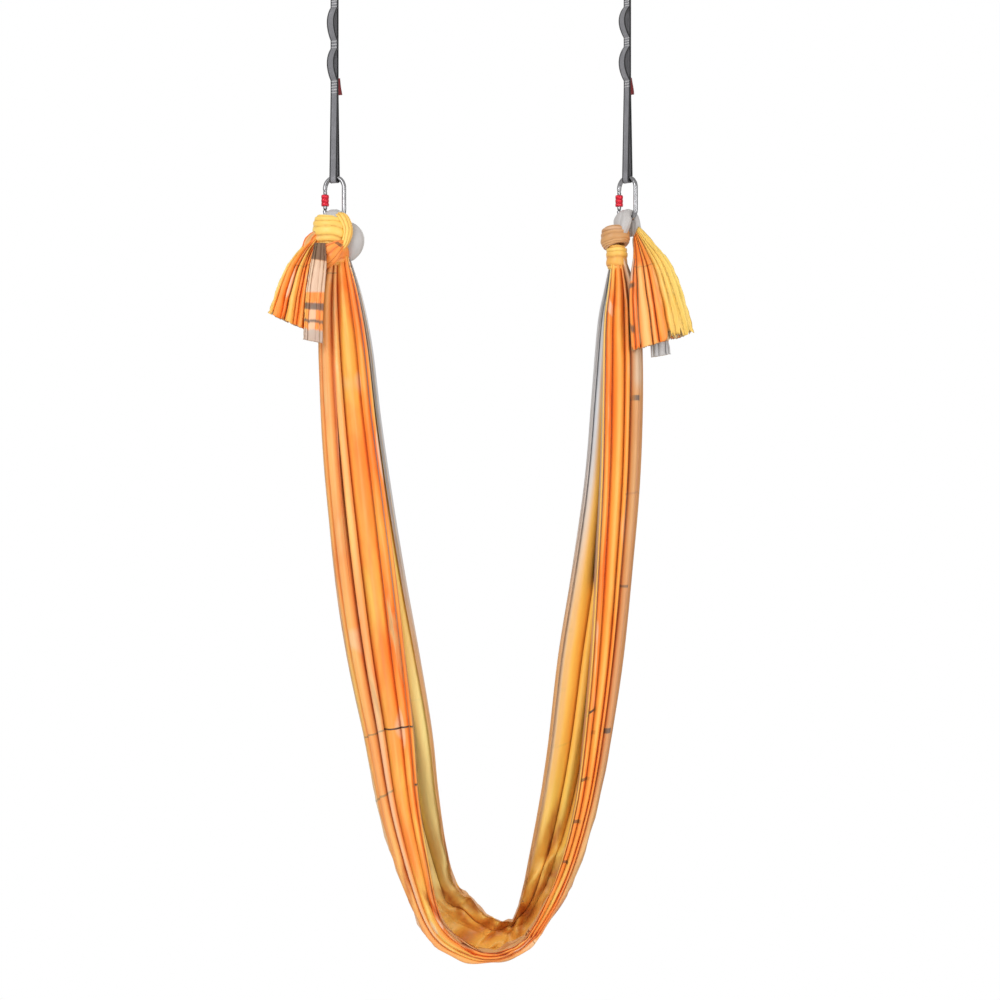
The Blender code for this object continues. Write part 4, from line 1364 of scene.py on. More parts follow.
# Tails: each edge as X in half spacings off the knot and depth down as a share of the drop, then
# how far forward and how deep the section is
TAILS = {
    Side.LEFT: (
        (-0.120, -0.08, -0.094, -0.06, 0.10, 0.45),
        (-0.205, 0.040, -0.118, 0.080, 0.45, 0.70),
        (-0.285, 0.210, -0.132, 0.270, 0.90, 0.90),
        (-0.350, 0.420, -0.146, 0.500, 1.00, 1.00),
        (-0.388, 0.580, -0.156, 0.700, 1.00, 1.00),
        (-0.416, 0.700, -0.164, 0.860, 1.00, 0.90),
    ),
    Side.RIGHT: (
        (0.0665, -0.160, 0.0400, -0.080, 0.10, 0.40),
        (0.155, 0.000, 0.034, 0.120, 0.50, 0.60),
        (0.240, 0.170, 0.012, 0.300, 0.95, 0.90),
        (0.314, 0.390, 0.000, 0.520, 1.00, 1.00),
        (0.370, 0.640, 0.004, 0.780, 1.00, 1.00),
        (0.414, 0.890, 0.016, 1.050, 1.00, 0.85),
    ),
}
STRIPS = {
    Side.LEFT: (
        (-0.120, 0.000, -0.050, 0.000, 0.80, 0.30),
        (-0.138, 0.180, -0.036, 0.200, 1.15, 0.40),
        (-0.166, 0.450, -0.046, 0.450, 1.35, 0.50),
        (-0.178, 0.700, -0.056, 0.720, 1.40, 0.55),
        (-0.188, 0.950, -0.060, 0.985, 1.40, 0.55),
    ),
    Side.RIGHT: (
        (0.100, 0.050, 0.070, 0.050, 0.40, 0.30),
        (0.150, 0.300, 0.080, 0.300, 0.60, 0.40),
        (0.210, 0.600, 0.110, 0.620, 0.70, 0.50),
        (0.255, 0.860, 0.140, 0.880, 0.72, 0.50),
        (0.280, 1.080, 0.152, 1.110, 0.72, 0.50),
    ),
}


def fan_legs(pleats: tuple[Triple, ...], tuck: float, hidden: int) -> tuple[Leg, ...]:
    """Return the runs of a tail: the pleated front, a hidden run back and a rear run."""
    return (
        Leg(((0.0, 0, -0.35, 0), (0.05, 0, -0.72, 0), (0.36, 0, -0.9, 0), (0.7, 0, -0.85, 0),
             (1.0, 0, -0.6, 0)), pleats, tuck, tuck),
        Leg(((1.0, 0, -0.4, 0), (0.6, 0, -0.1, 0), (0.08, 0, 0.1, 0)), drawn_pleats(hidden, 7), tuck, tuck,
            way=-1, plain=True),
        Leg(((0.08, 0, 0.3, 0), (0.5, 0, 0.55, 0), (0.98, 0, 0.4, 0)), drawn_pleats(hidden * 2 // 3, 9), tuck,
            tuck, way=1),
    )


# Each pleat: its width, the depth of its tuck and that tuck's painted shade
FANS = {
    Side.LEFT: fan_legs(
        ((22, 0.9, 0.6), (10, 0.8, 0.5), (26, 1.0, 0.9), (12, 1.0, 1.0), (24, 0.9, 0.7), (9, 1.0, 1.0),
         (22, 0.8, 0.5), (14, 0.9, 0.8)), 0.034, 30),
    Side.RIGHT: fan_legs(
        ((24, 0.10, 0.4), (22, 0.10, 0.4), (13, 0.12, 1.0), (12, 1.0, 1.0), (22, 1.0, 0.6), (9, 0.9, 0.9),
         (24, 1.0, 0.5), (9, 1.0, 1.0), (12, 0.9, 0.8)), 0.038, 32),
}
STRIP_LEGS = fan_legs(((14, 0.8, 0.7), (9, 0.9, 0.9), (16, 0.5, 0.4), (11, 0.9, 0.8), (9, 0.9, 0.8)),
                      0.010, 3)


@dataclass
class Knot:
    """One knot: the eye over the carabiner's bar, the turns below it and the loose tail."""

    side: Side
    finishes: Finishes
    tail_drop: float = 0.235
    tail_depth: float = 0.034
    tail_forward: float = 0.056
    tail_flat: Pair = (2.8, 0.25)
    tail_hem: float = 0.14
    fold_flat: Pair = (0.4, 0.25)
    fold_hem: float = 0.03
    rows: int = 44
    eye_half: float = 0.0175
    swing: float = 0.0165
    rise: float = 0.0163

    def fan(self, name: str, plan: Sequence[Sequence[float]], legs: Sequence[Leg], flat: Pair,
            material: Material, hem: float, *nodes: str) -> Object:
        """Build one layer of the loose end.

        Args:
            name: the piece's name.
            plan: its sections, from TAILS or STRIPS.
            legs: its runs of pleats.
            flat: its flat width and length.
            material: the printed face's material.
            hem: how uneven its hem hangs.
            nodes: the nodes that it stands for.

        Returns:
            The layer's object.
        """
        stations = []
        for *edges, forward, deep in plan:
            ends = [(self.side.anchor + x * SIZES.half_spacing, -forward * self.tail_forward,
                     SIZES.collar_top_z - down * self.tail_drop) for x, down in (edges[:2], edges[2:])]
            stations.append(Station(*ends, self.tail_depth * deep, 0.0, 1.0, 0.35 + 0.65 * deep))
        cloth = GatheredCloth(name, flat, stations, legs, self.rows, seed=5 + self.side.sign, hem=hem,
                              mirrored=self.side is Side.RIGHT)
        obj = cloth_piece(name, cloth.build(), [material, self.finishes.tail_reverse], *nodes)
        thicken(obj, cloth.thickness, reverse=True)
        return obj

    def tail(self) -> None:
        """Build the loose end of the cloth, fanned out beside the knot."""
        side = self.side.value
        strip_print = self.finishes.strip if self.side is Side.LEFT else self.finishes.reverse
        strip = self.fan(f"tail_fold_{side}", STRIPS[self.side], STRIP_LEGS, self.fold_flat, strip_print,
                         self.fold_hem)
        fan = self.fan(f"tail_{side}", TAILS[self.side], FANS[self.side], self.tail_flat,
                       self.finishes.tail[self.side], self.tail_hem, f"cloth_tail_{side}")

    def eye(self) -> Object:
        """Build the bundle that passes up through the carabiner, over its bar and down."""
        angle = radians(TURNS[self.side])
        along_bar = Vector((cos(angle), -sin(angle), 0.0))
        forward = Vector((-sin(angle), -cos(angle), 0.0))
        bar = Vector((self.side.anchor, 0.0, SIZES.lower_z - SIZES.bar_reach))
        left = self.side is Side.LEFT
        foot, foot_thick = (-0.012, 0.0130) if left else (-0.034, 0.0095)
        low, middle, high = (0.72, 0.72, 0.72) if left else (0.36, 0.66, 0.94)
        shoulder = 0.70 * self.rise
        # From the front foot over the bar to the rear one: how far out each place lies in swings and
        # how far up, its half width in eyes and its half thickness
        places = ((1.25, foot, 1.80 * low, foot_thick), (1.14, foot / 2, 1.72 * middle, 0.0118),
                  (1.0, 0.0, 1.50 * high, 0.0106), (0.74, shoulder, 1.10, 0.0102),
                  (0.0, self.rise, 0.96, 0.0106), (-0.74, shoulder, 1.05, 0.0104),
                  (-1.0, 0.0, 1.20, 0.0108), (-1.12, foot / 2, 1.35, 0.0125), (-1.25, foot, 1.50, 0.0140))
        rows = [[*(bar + forward * (out * self.swing) + UP * up), half * self.eye_half, thick]
                for out, up, half, thick in places]
        bundle = Bundle(f"eye_{self.side.value}", rows, tuple(along_bar), pleats=9, ripple=0.0022,
                        seed=21 + self.side.sign)
        return cloth_piece(bundle.name, bundle.build(), [self.finishes.reverse],
                           f"cloth_eye_{self.side.value}")

    def turns(self) -> list[Object]:
        """Build the closed turns of the knot, which differ from side to side."""
        mats = self.finishes
        # Name, X off the anchor and Z, then the rest of a turn's path, and the Bundle's own numbers
        plan = {
            Side.LEFT: (
                ("knot_turn_left", (-0.006, -0.7660), (0.029, 0.022), -9, 6, 0.035, 0.0160, 0.0, 0,
                 13, 0.0042, 3, mats.gold, "knot_wrap_left"),
                ("knot_bow_left", (0.004, -0.8150), (0.020, 0.018), 14, -8, 0.030, 0.0120, 0.30, 180,
                 8, 0.0030, 4, mats.printed, "knot_collar_left"),
            ),
            Side.RIGHT: (
                ("knot_turn_right", (-0.027, -0.7760), (0.0225, 0.022), 6, 14, 0.0235, 0.0120, 0.2, 0,
                 12, 0.0038, 8, mats.tan, "knot_wrap_right"),
                ("knot_bow_right", (-0.0245, -0.8240), (0.0145, 0.016), -6, 0, 0.031, 0.0112, 0.1, 180,
                 11, 0.0036, 9, mats.gold, "knot_collar_right"),
            ),
        }
        made = []
        for name, (off, height), *turn, pleats, ripple, seed, material, node in plan[self.side]:
            rows = ring_rows((self.side.anchor + off, 0.0, height), *turn)
            bundle = Bundle(name, rows, (0.0, 0.0, 1.0), pleats, ripple, seed, closed=True)
            made.append(cloth_piece(name, bundle.build(), [material], node))
        return made

    def folds(self) -> list[Object]:
        """Build the open folds that cross the left knot: its lobe, band, fan and flap."""
        if self.side is Side.RIGHT:
            return []
        mats = self.finishes
        # Name, side vector, pleats, ripple, material, then rows off the anchor: point and half sizes
        plan = (
            ("knot_lobe", (1.0, 0.15, 0.25), 4, 0.0016, mats.reverse, (
                (0.030, 0.004, -0.744, 0.007, 0.007), (0.040, 0.003, -0.758, 0.017, 0.014),
                (0.045, 0.002, -0.777, 0.0235, 0.018), (0.042, 0.003, -0.800, 0.022, 0.016),
                (0.036, 0.004, -0.818, 0.014, 0.010), (0.030, 0.005, -0.828, 0.006, 0.005))),
            ("knot_band", (1.0, 0.45, 0.1), 6, 0.0028, mats.gold, (
                (0.004, -0.012, -0.724, 0.009, 0.005), (0.020, -0.024, -0.731, 0.012, 0.007),
                (0.031, -0.026, -0.750, 0.012, 0.008), (0.033, -0.027, -0.772, 0.011, 0.008),
                (0.026, -0.031, -0.793, 0.009, 0.007), (0.015, -0.032, -0.808, 0.006, 0.005))),
            ("knot_fan", (0.42, 0.0, -1.0), 8, 0.0030, mats.printed, (
                (0.022, -0.033, -0.790, 0.005, 0.004), (0.010, -0.041, -0.802, 0.015, 0.007),
                (-0.005, -0.044, -0.817, 0.024, 0.009), (-0.020, -0.038, -0.825, 0.027, 0.009),
                (-0.034, -0.022, -0.820, 0.022, 0.007), (-0.044, -0.004, -0.812, 0.014, 0.005))),
            ("knot_flap", (0.75, 0.25, -0.6), 4, 0.0020, mats.printed, (
                (-0.034, -0.012, -0.765, 0.006, 0.004), (-0.048, -0.018, -0.776, 0.010, 0.005),
                (-0.058, -0.024, -0.791, 0.012, 0.005), (-0.064, -0.028, -0.806, 0.009, 0.003))),
        )
        made = []
        for seed, (name, side, pleats, ripple, material, rows) in enumerate(plan):
            placed = [[self.side.anchor + row[0], *row[1:]] for row in rows]
            bundle = Bundle(name, placed, side, pleats, ripple, 31 + seed, squareness=2.0)
            nodes = ["knot_lobe_left"] if name == "knot_lobe" else []
            made.append(cloth_piece(name, bundle.build(), [material], *nodes))
        return made

    def build(self) -> list[Object]:
        """Build the knot and return the pieces that are turns of the sling's cloth."""
        made = [self.eye(), *self.turns(), *self.folds()]
        self.tail()
        return made


# Hardware


def rod(start: Vector, end: Vector, radius: float, chamfer: float = 0.0, sides: int = 40) -> Shape:
    """Return a round rod.

    Args:
        start: the middle of one end.
        end: the middle of the other.
        radius: its radius.
        chamfer: how much its ends are rounded.
        sides: the number of its faces round.

    Returns:
        The closed rod.
    """
    bm = bmesh.new()
    line = end - start
    place = Matrix.Translation((start + end) / 2) @ line.to_track_quat("Z", "Y").to_matrix().to_4x4()
    bmesh.ops.create_cone(bm, cap_ends=True, segments=sides, radius1=radius, radius2=radius,
                          depth=line.length, matrix=place)
    if chamfer:
        round_off(bm, chamfer)
    return bm


def round_off(bm: Shape, offset: float, least: float = 50.0) -> None:
    """Bevel every edge that turns by more than an angle in degrees."""
    sharp = [edge for edge in bm.edges
             if len(edge.link_faces) == 2 and degrees(edge.calc_face_angle()) > least]
    bmesh.ops.bevel(bm, geom=sharp, offset=offset, affect="EDGES", segments=2, profile=0.5, material=-1)


def lathe(profile: Sequence[Pair], sides: int = 64, closed: bool = False) -> Shape:
    """Turn a profile about Z.

    Args:
        profile: radius and height of each of its points.
        sides: the number of faces round.
        closed: whether the profile is a loop clear of the axis.

    Returns:
        The closed body.
    """
    bm = bmesh.new()
    points = [bm.verts.new((radius, 0.0, height)) for radius, height in profile]
    pairs = zip(points, [*points[1:], points[0]]) if closed else zip(points, points[1:])
    lines = [bm.edges.new(pair) for pair in pairs]
    bmesh.ops.spin(bm, geom=[*points, *lines], cent=(0, 0, 0), axis=UP, angle=TAU, steps=sides,
                   use_merge=True)
    bmesh.ops.remove_doubles(bm, verts=bm.verts, dist=MERGE)
    return face_out(bm)


def slab(outline: Sequence[Pair], half: float, chamfer: float = 0.0) -> Shape:
    """Return a plate that stands in the XZ plane.

    Args:
        outline: X and Z of its corners.
        half: its half thickness.
        chamfer: how much its edges are rounded.

    Returns:
        The closed plate.
    """
    bm = bmesh.new()
    face = bm.faces.new([bm.verts.new((x, -half, z)) for x, z in outline])
    made = bmesh.ops.extrude_face_region(bm, geom=[face])["geom"]
    raised = [item for item in made if isinstance(item, bmesh.types.BMVert)]
    bmesh.ops.translate(bm, verts=raised, vec=(0.0, 2 * half, 0.0))
    face_out(bm)
    if chamfer:
        round_off(bm, chamfer)
    return bm


def joined(parts: Sequence[Shape]) -> Shape:
    """Return several shapes as one bmesh, and free them."""
    whole = bmesh.new()
    for part in parts:
        mesh = as_mesh(part, "part")
        whole.from_mesh(mesh)
        bpy.data.meshes.remove(mesh)
    return whole


def cut(body: Shape, tools: Sequence[Shape]) -> Shape:
    """Cut closed tools out of a closed body, and free them all."""
    objects = [linked("cutting", as_mesh(face_out(shape), "cutting")) for shape in (body, *tools)]
    for tool in objects[1:]:
        modifier = objects[0].modifiers.new("cut", "BOOLEAN")
        modifier.operation = "DIFFERENCE"
        modifier.object = tool
    result = bmesh.new()
    result.from_object(objects[0], bpy.context.evaluated_depsgraph_get())
    for obj in objects:
        mesh = obj.data
        bpy.data.objects.remove(obj)
        bpy.data.meshes.remove(mesh)
    return result


@dataclass
class BentBar:
    """A round bar that starts as a ring and is led straight on or round bends in the XZ plane."""

    start: Vector
    radius: float
    sides: int = 32
    bm: Shape = field(default_factory=bmesh.new)
    ring: list[bmesh.types.BMEdge] = field(init=False)

    def __post_init__(self) -> None:
        """Make the first ring, which faces up."""
        made = bmesh.ops.create_circle(self.bm, segments=self.sides, radius=self.radius,
                                       matrix=Matrix.Translation(self.start))
        self.ring = list({edge for vert in made["verts"] for edge in vert.link_edges})

    @property
    def ends(self) -> list[bmesh.types.BMVert]:
        """The points of the last ring."""
        return list({vert for edge in self.ring for vert in edge.verts})

    def straight(self, by: Vector, scale: float = 1.0) -> None:
        """Lead the bar on by a vector, and scale its section."""
        made = bmesh.ops.extrude_edge_only(self.bm, edges=self.ring)["geom"]
        self.ring = [item for item in made if isinstance(item, bmesh.types.BMEdge)]
        points = self.ends
        middle = sum((vert.co for vert in points), Vector()) / len(points)
        for vert in points:
            vert.co = middle + (vert.co - middle) * scale + by

    def bend(self, centre: Vector, angle: float, steps: int = 36) -> None:
        """Lead the bar round a centre, by an angle in degrees about Y."""
        made = bmesh.ops.spin(self.bm, geom=self.ring, cent=centre, axis=(0.0, 1.0, 0.0),
                              angle=radians(angle), steps=steps)["geom_last"]
        self.ring = [item for item in made if isinstance(item, bmesh.types.BMEdge)]

    def close(self) -> Shape:
        """Close the ends and return the bar."""
        close_rims(self.bm)
        round_off(face_out(self.bm), 0.0004)
        return self.bm


@dataclass
class Carabiner:
    """One oval screw-gate carabiner, built upright about its middle with its gate at -X."""

    side: Side
    level: Level
    finishes: Finishes
    gate_radius: float = 0.0045
    hinge_z: float = -0.020
    gate_top: float = 0.0183
    nose_gap: float = 0.0007
    neck: float = 0.0040
    neck_slope: float = 0.0007
    tang_half: float = 0.0015
    tang_width: float = 0.0032
    nose_reach: float = 0.0058
    catch_drop: float = 0.003
    catch_hook: float = 0.0011
    rivet_radius: float = 0.0015
    catch_radius: float = 0.0012
    pin_half: float = 0.0039
    spring_radius: float = 0.00175
    spring_wire: float = 0.00035
    spring_base: float = 0.0038
    spring_turns: int = 12
    plug: float = 0.0087
    sleeve_radius: float = 0.009
    sleeve_lift: float = 0.0047
    gate_show: float = 0.0072
    ridges: int = 3
    ridge_depth: float = 0.0012
    flutes: int = 20
    flute_depth: float = 0.00038
    threads: int = 6
    thread_from: float = 0.0262
    thread_pitch: float = 0.00085
    thread_depth: float = 0.00028

    @property
    def gate_length(self) -> float:
        """From the hinge to the gate's nose."""
        return self.gate_top - self.hinge_z

    @property
    def slot_floor(self) -> float:
        """Height of the floor of the gate's nose slot over the hinge."""
        return self.gate_length - self.nose_reach - self.nose_gap

    def put(self, kind: str, body: str, slot: str, bm: Shape, material: Material,
            lift: float | None = None) -> None:
        """Turn a shape, move it to its place and make it a piece.

        Args:
            kind: the node's name between the level and the side.
            body: the body that it rides on.
            slot: the record's material slot.
            bm: the shape.
            material: its material.
            lift: how far over the hinge it stands, or None about the carabiner's middle.
        """
        if lift is not None:
            shifted(bm, (-SIZES.arc_radius, 0.0, self.hinge_z + lift))
        turn = -90.0 if self.level is Level.UPPER else TURNS[self.side]
        height = SIZES.upper_z if self.level is Level.UPPER else SIZES.lower_z
        place = Matrix.Translation((self.side.anchor, 0.0, height))
        bmesh.ops.transform(bm, matrix=place @ Matrix.Rotation(-radians(turn), 4, "Z"), verts=bm.verts)
        stem = f"{self.level.value}_{kind}_{self.side.value}"
        Piece(f"{stem}_form", body, slot, (stem,), sharp=True).place(bm, [material])

    def frame(self) -> Shape:
        """Return the oval bar with its hinge tang and hooked nose tang."""
        radius, half = SIZES.arc_radius, SIZES.half_straight
        bar = BentBar(Vector((-radius, 0.0, -half)), SIZES.bar_radius)
        bar.bend(UP * -half, -180.0)
        bar.straight(UP * (2 * half))
        bar.bend(UP * half, -180.0)
        neck_low = self.gate_top + self.nose_gap
        bar.straight(UP * (neck_low + self.neck - half))
        bar.straight(UP * -self.neck_slope, self.gate_radius / SIZES.bar_radius)
        bar.straight(UP * (self.neck_slope - self.neck))
        return joined([bar.close(), self.hinge_tang(), self.nose_tang()])

    def hinge_tang(self) -> Shape:
        """Return the tang that the gate turns on, with its rivet hole."""
        middle, wide = -SIZES.arc_radius, self.tang_width
        foot = -SIZES.half_straight - wide / 2
        outline = [(middle - wide, foot), (middle + wide, foot), *arc((middle, self.hinge_z), wide, 0.0)]
        hole = Vector((middle, 0.0, self.hinge_z))
        reach = Vector((0.0, 2 * self.tang_half, 0.0))
        tool = rod(hole - reach, hole + reach, self.rivet_radius + SIZES.clearance)
        return cut(slab(outline, self.tang_half, 0.0002), [tool])

    def nose_tang(self) -> Shape:
        """Return the hooked tang that the catch pin closes into."""
        middle = -SIZES.arc_radius
        low = self.gate_top - self.nose_reach
        inner = middle + self.tang_width
        notch = middle - self.catch_radius - SIZES.clearance
        notch_top = self.gate_top - self.catch_drop + self.catch_radius + SIZES.clearance
        root = self.gate_top + self.nose_gap + self.tang_width / 2
        outline = [(middle - self.tang_width, low), (inner, low), (inner, low + self.catch_hook),
                   (notch, low + self.catch_hook), (notch, notch_top), (inner, notch_top), (inner, root),
                   (middle - self.tang_width, root)]
        return slab(outline, self.tang_half, 0.0002)

    def gate(self) -> Shape:
        """Return the gate: a round foot, threads under its nose, slots, spring bore and pin holes."""
        radius = self.gate_radius
        profile = arc((0.0, 0.0), radius, -90.0, 90.0, 10)
        pitch, root = self.thread_pitch, radius - self.thread_depth
        for index in range(self.threads):
            base = self.thread_from + pitch * index
            profile += [(radius, base), (root, base + pitch * 0.35), (root, base + pitch * 0.5)]
        top, rounded = self.gate_length, 0.0005
        profile += [(radius, self.thread_from + self.threads * pitch), (radius, top - rounded),
                    (radius - rounded, top), (0.0, top)]
        wide = radius * 1.2
        slot = self.tang_half + SIZES.clearance
        foot = self.tang_width + SIZES.clearance
        tools = [slab([(-wide, low), (wide, low), (wide, high), (-wide, high)], slot)
                 for low, high in ((-wide, foot), (self.slot_floor, top + wide))]
        bore_end = self.slot_floor - self.plug
        tools.append(rod(Vector(), UP * bore_end, self.spring_radius + self.spring_wire + SIZES.clearance))
        for height, pin in ((0.0, self.rivet_radius), (top - self.catch_drop, self.catch_radius)):
            across = Vector((0.0, wide, 0.0))
            tools.append(rod(UP * height - across, UP * height + across, pin + SIZES.clearance, sides=24))
        return cut(lathe(profile, 56), tools)

    def pin(self, radius: float) -> Shape:
        """Return a pin across the gate with rounded ends."""
        reach = Vector((0.0, self.pin_half, 0.0))
        return rod(-reach, reach, radius, 0.0003, 28)

    def spring(self) -> Shape:
        """Return the gate spring, wound upwards."""
        bm = bmesh.new()
        length = self.slot_floor - self.plug - 2 * self.spring_wire - self.spring_base
        start = Vector((self.spring_radius, 0.0, self.spring_base + self.spring_wire))
        turn = Matrix.Rotation(pi / 2, 4, "X")
        made = bmesh.ops.create_circle(bm, segments=10, radius=self.spring_wire,
                                       matrix=Matrix.Translation(start) @ turn)
        ring = [*made["verts"], *{edge for vert in made["verts"] for edge in vert.link_edges}]
        steps = self.spring_turns * 20
        bmesh.ops.spin(bm, geom=ring, cent=(0, 0, 0), axis=UP, dvec=UP * (length / steps),
                       angle=TAU * self.spring_turns, steps=steps)
        close_rims(bm)
        return face_out(bm)

    def sleeve(self) -> Shape:
        """Return the screw sleeve, with rounded ridges that are fluted for grip."""
        length = self.gate_length - self.sleeve_lift - self.gate_show
        groove = self.sleeve_radius - self.ridge_depth
        bore = self.gate_radius + SIZES.clearance
        pitch = length / self.ridges
        rounded, lead = 0.0005, 0.0004
        profile = [(bore + lead, 0.0), (groove - rounded, 0.0)]
        margin, steps, roundness = 0.04, 12, 0.45
        for index in range(self.ridges):
            for step in range(steps + 1):
                t = margin + (1 - 2 * margin) * step / steps
                swell = sin(pi * t) ** roundness
                profile.append((groove + self.ridge_depth * swell, pitch * (index + t)))
        profile += [(groove - rounded, length), (bore + lead, length), (bore, length - lead), (bore, lead)]
        bm = lathe(profile, self.flutes * 6, closed=True)
        for vert in bm.verts:
            reach = hypot(vert.co.x, vert.co.y)
            ridge = max((reach - groove) / self.ridge_depth, 0.0)
            flute = max(cos(self.flutes * atan2(vert.co.y, vert.co.x)), 0.0) ** 3
            shrink = 1 - self.flute_depth * ridge * flute / reach
            vert.co.x *= shrink
            vert.co.y *= shrink
        return bm

    def build(self) -> None:
        """Build the carabiner's pieces."""
        mats, side, level = self.finishes, self.side.value, self.level.value
        carrier = f"hanger_{side}" if self.level is Level.UPPER else "sling"
        gate = f"{level}_gate_{side}"
        self.put("carabiner", carrier, "polished_steel", self.frame(), mats.steel)
        self.put("rivet", carrier, "polished_steel", self.pin(self.rivet_radius), mats.steel, 0.0)
        self.put("gate", gate, "polished_steel", self.gate(), mats.steel, 0.0)
        self.put("catch_pin", gate, "polished_steel", self.pin(self.catch_radius), mats.steel,
                 self.gate_length - self.catch_drop)
        self.put("gate_spring", gate, "spring_steel", self.spring(), mats.spring, 0.0)
        self.put("sleeve", f"{level}_sleeve_{side}", "red_anodised", self.sleeve(), mats.red,
                 self.sleeve_lift)


@dataclass
class CeilingMount:
    """A bolted plate with a U-eye welded under it."""

    side: Side
    finishes: Finishes
    length: float = 0.110
    width: float = 0.070
    thick: float = 0.006
    corner: float = 0.012
    hole_radius: float = 0.0045
    inset: float = 0.015
    sink: float = 0.0010
    eye_radius: float = 0.017
    eye_drop: float = 0.034
    weld_size: float = 0.0024
    weld_ripple: float = 0.055
    weld_drops: int = 11

    def plate(self) -> Shape:
        """Return the plate, with round corners and countersunk bolt holes."""
        bm = bmesh.new()
        bmesh.ops.create_cube(bm, size=1.0)
        bmesh.ops.scale(bm, vec=(self.length, self.width, self.thick), verts=bm.verts)
        upright = [edge for edge in bm.edges if abs(edge.verts[0].co.z - edge.verts[1].co.z) > self.thick / 2]
        bmesh.ops.bevel(bm, geom=upright, offset=self.corner, affect="EDGES", segments=10, profile=0.5,
                        material=-1)
        round_off(bm, 0.0007)
        radius, high = self.hole_radius, self.thick
        profile = [(0.0, -high), (radius + 3 * self.sink, -high), (radius, self.sink - high / 2),
                   (radius, high), (0.0, high)]
        reach_x, reach_y = self.length / 2 - self.inset, self.width / 2 - self.inset
        tools = [shifted(lathe(profile, 40), (way_x * reach_x, way_y * reach_y, 0.0))
                 for way_x in (-1, 1) for way_y in (-1, 1)]
        return shifted(cut(bm, tools), (self.side.anchor, 0.0, -self.thick / 2))

    def eye(self) -> Shape:
        """Return the U-bar with a bead of weld round each leg."""
        top = self.eye_drop - SIZES.clearance
        bar = BentBar(Vector((-self.eye_radius, 0.0, top)), SIZES.eye_bar / 2)
        bar.straight(UP * (self.eye_radius - top))
        bar.bend(UP * self.eye_radius, -180.0)
        bar.straight(UP * (top - self.eye_radius))
        whole = joined([bar.close(), self.weld(-1), self.weld(1)])
        return shifted(whole, (self.side.anchor, 0.0, SIZES.eye_z))

    def weld(self, way: int) -> Shape:
        """Return the bead round one leg, laid in overlapping drops."""
        leg = SIZES.eye_bar / 2
        top, sunk = self.eye_drop, leg - 0.0004
        profile = [(sunk, top), (leg + self.weld_size, top), (leg + 0.0021, top - 0.0008),
                   (leg + 0.0012, top - 0.0019), (sunk, top - 0.0030)]
        bm = lathe(profile, 96, closed=True)
        for vert in bm.verts:
            angle = atan2(vert.co.y, vert.co.x)
            reach = hypot(vert.co.x, vert.co.y)
            drop = sin(self.weld_drops * angle + way) ** 2 - 0.5
            ripple = 1 + self.weld_ripple * max((reach - leg) / self.weld_size, 0.0) * drop
            vert.co.x = vert.co.x * ripple + way * self.eye_radius
            vert.co.y *= ripple
        return bm

    def build(self) -> None:
        """Build the plate and the eye."""
        side = self.side.value
        for node, shape in ((f"ceiling_plate_{side}", self.plate), (f"ceiling_eye_{side}", self.eye)):
            piece = Piece(f"{node}_form", "root", "zinc_plate", (node,), sharp=True)
            piece.place(shape(), [self.finishes.zinc])


# Straps


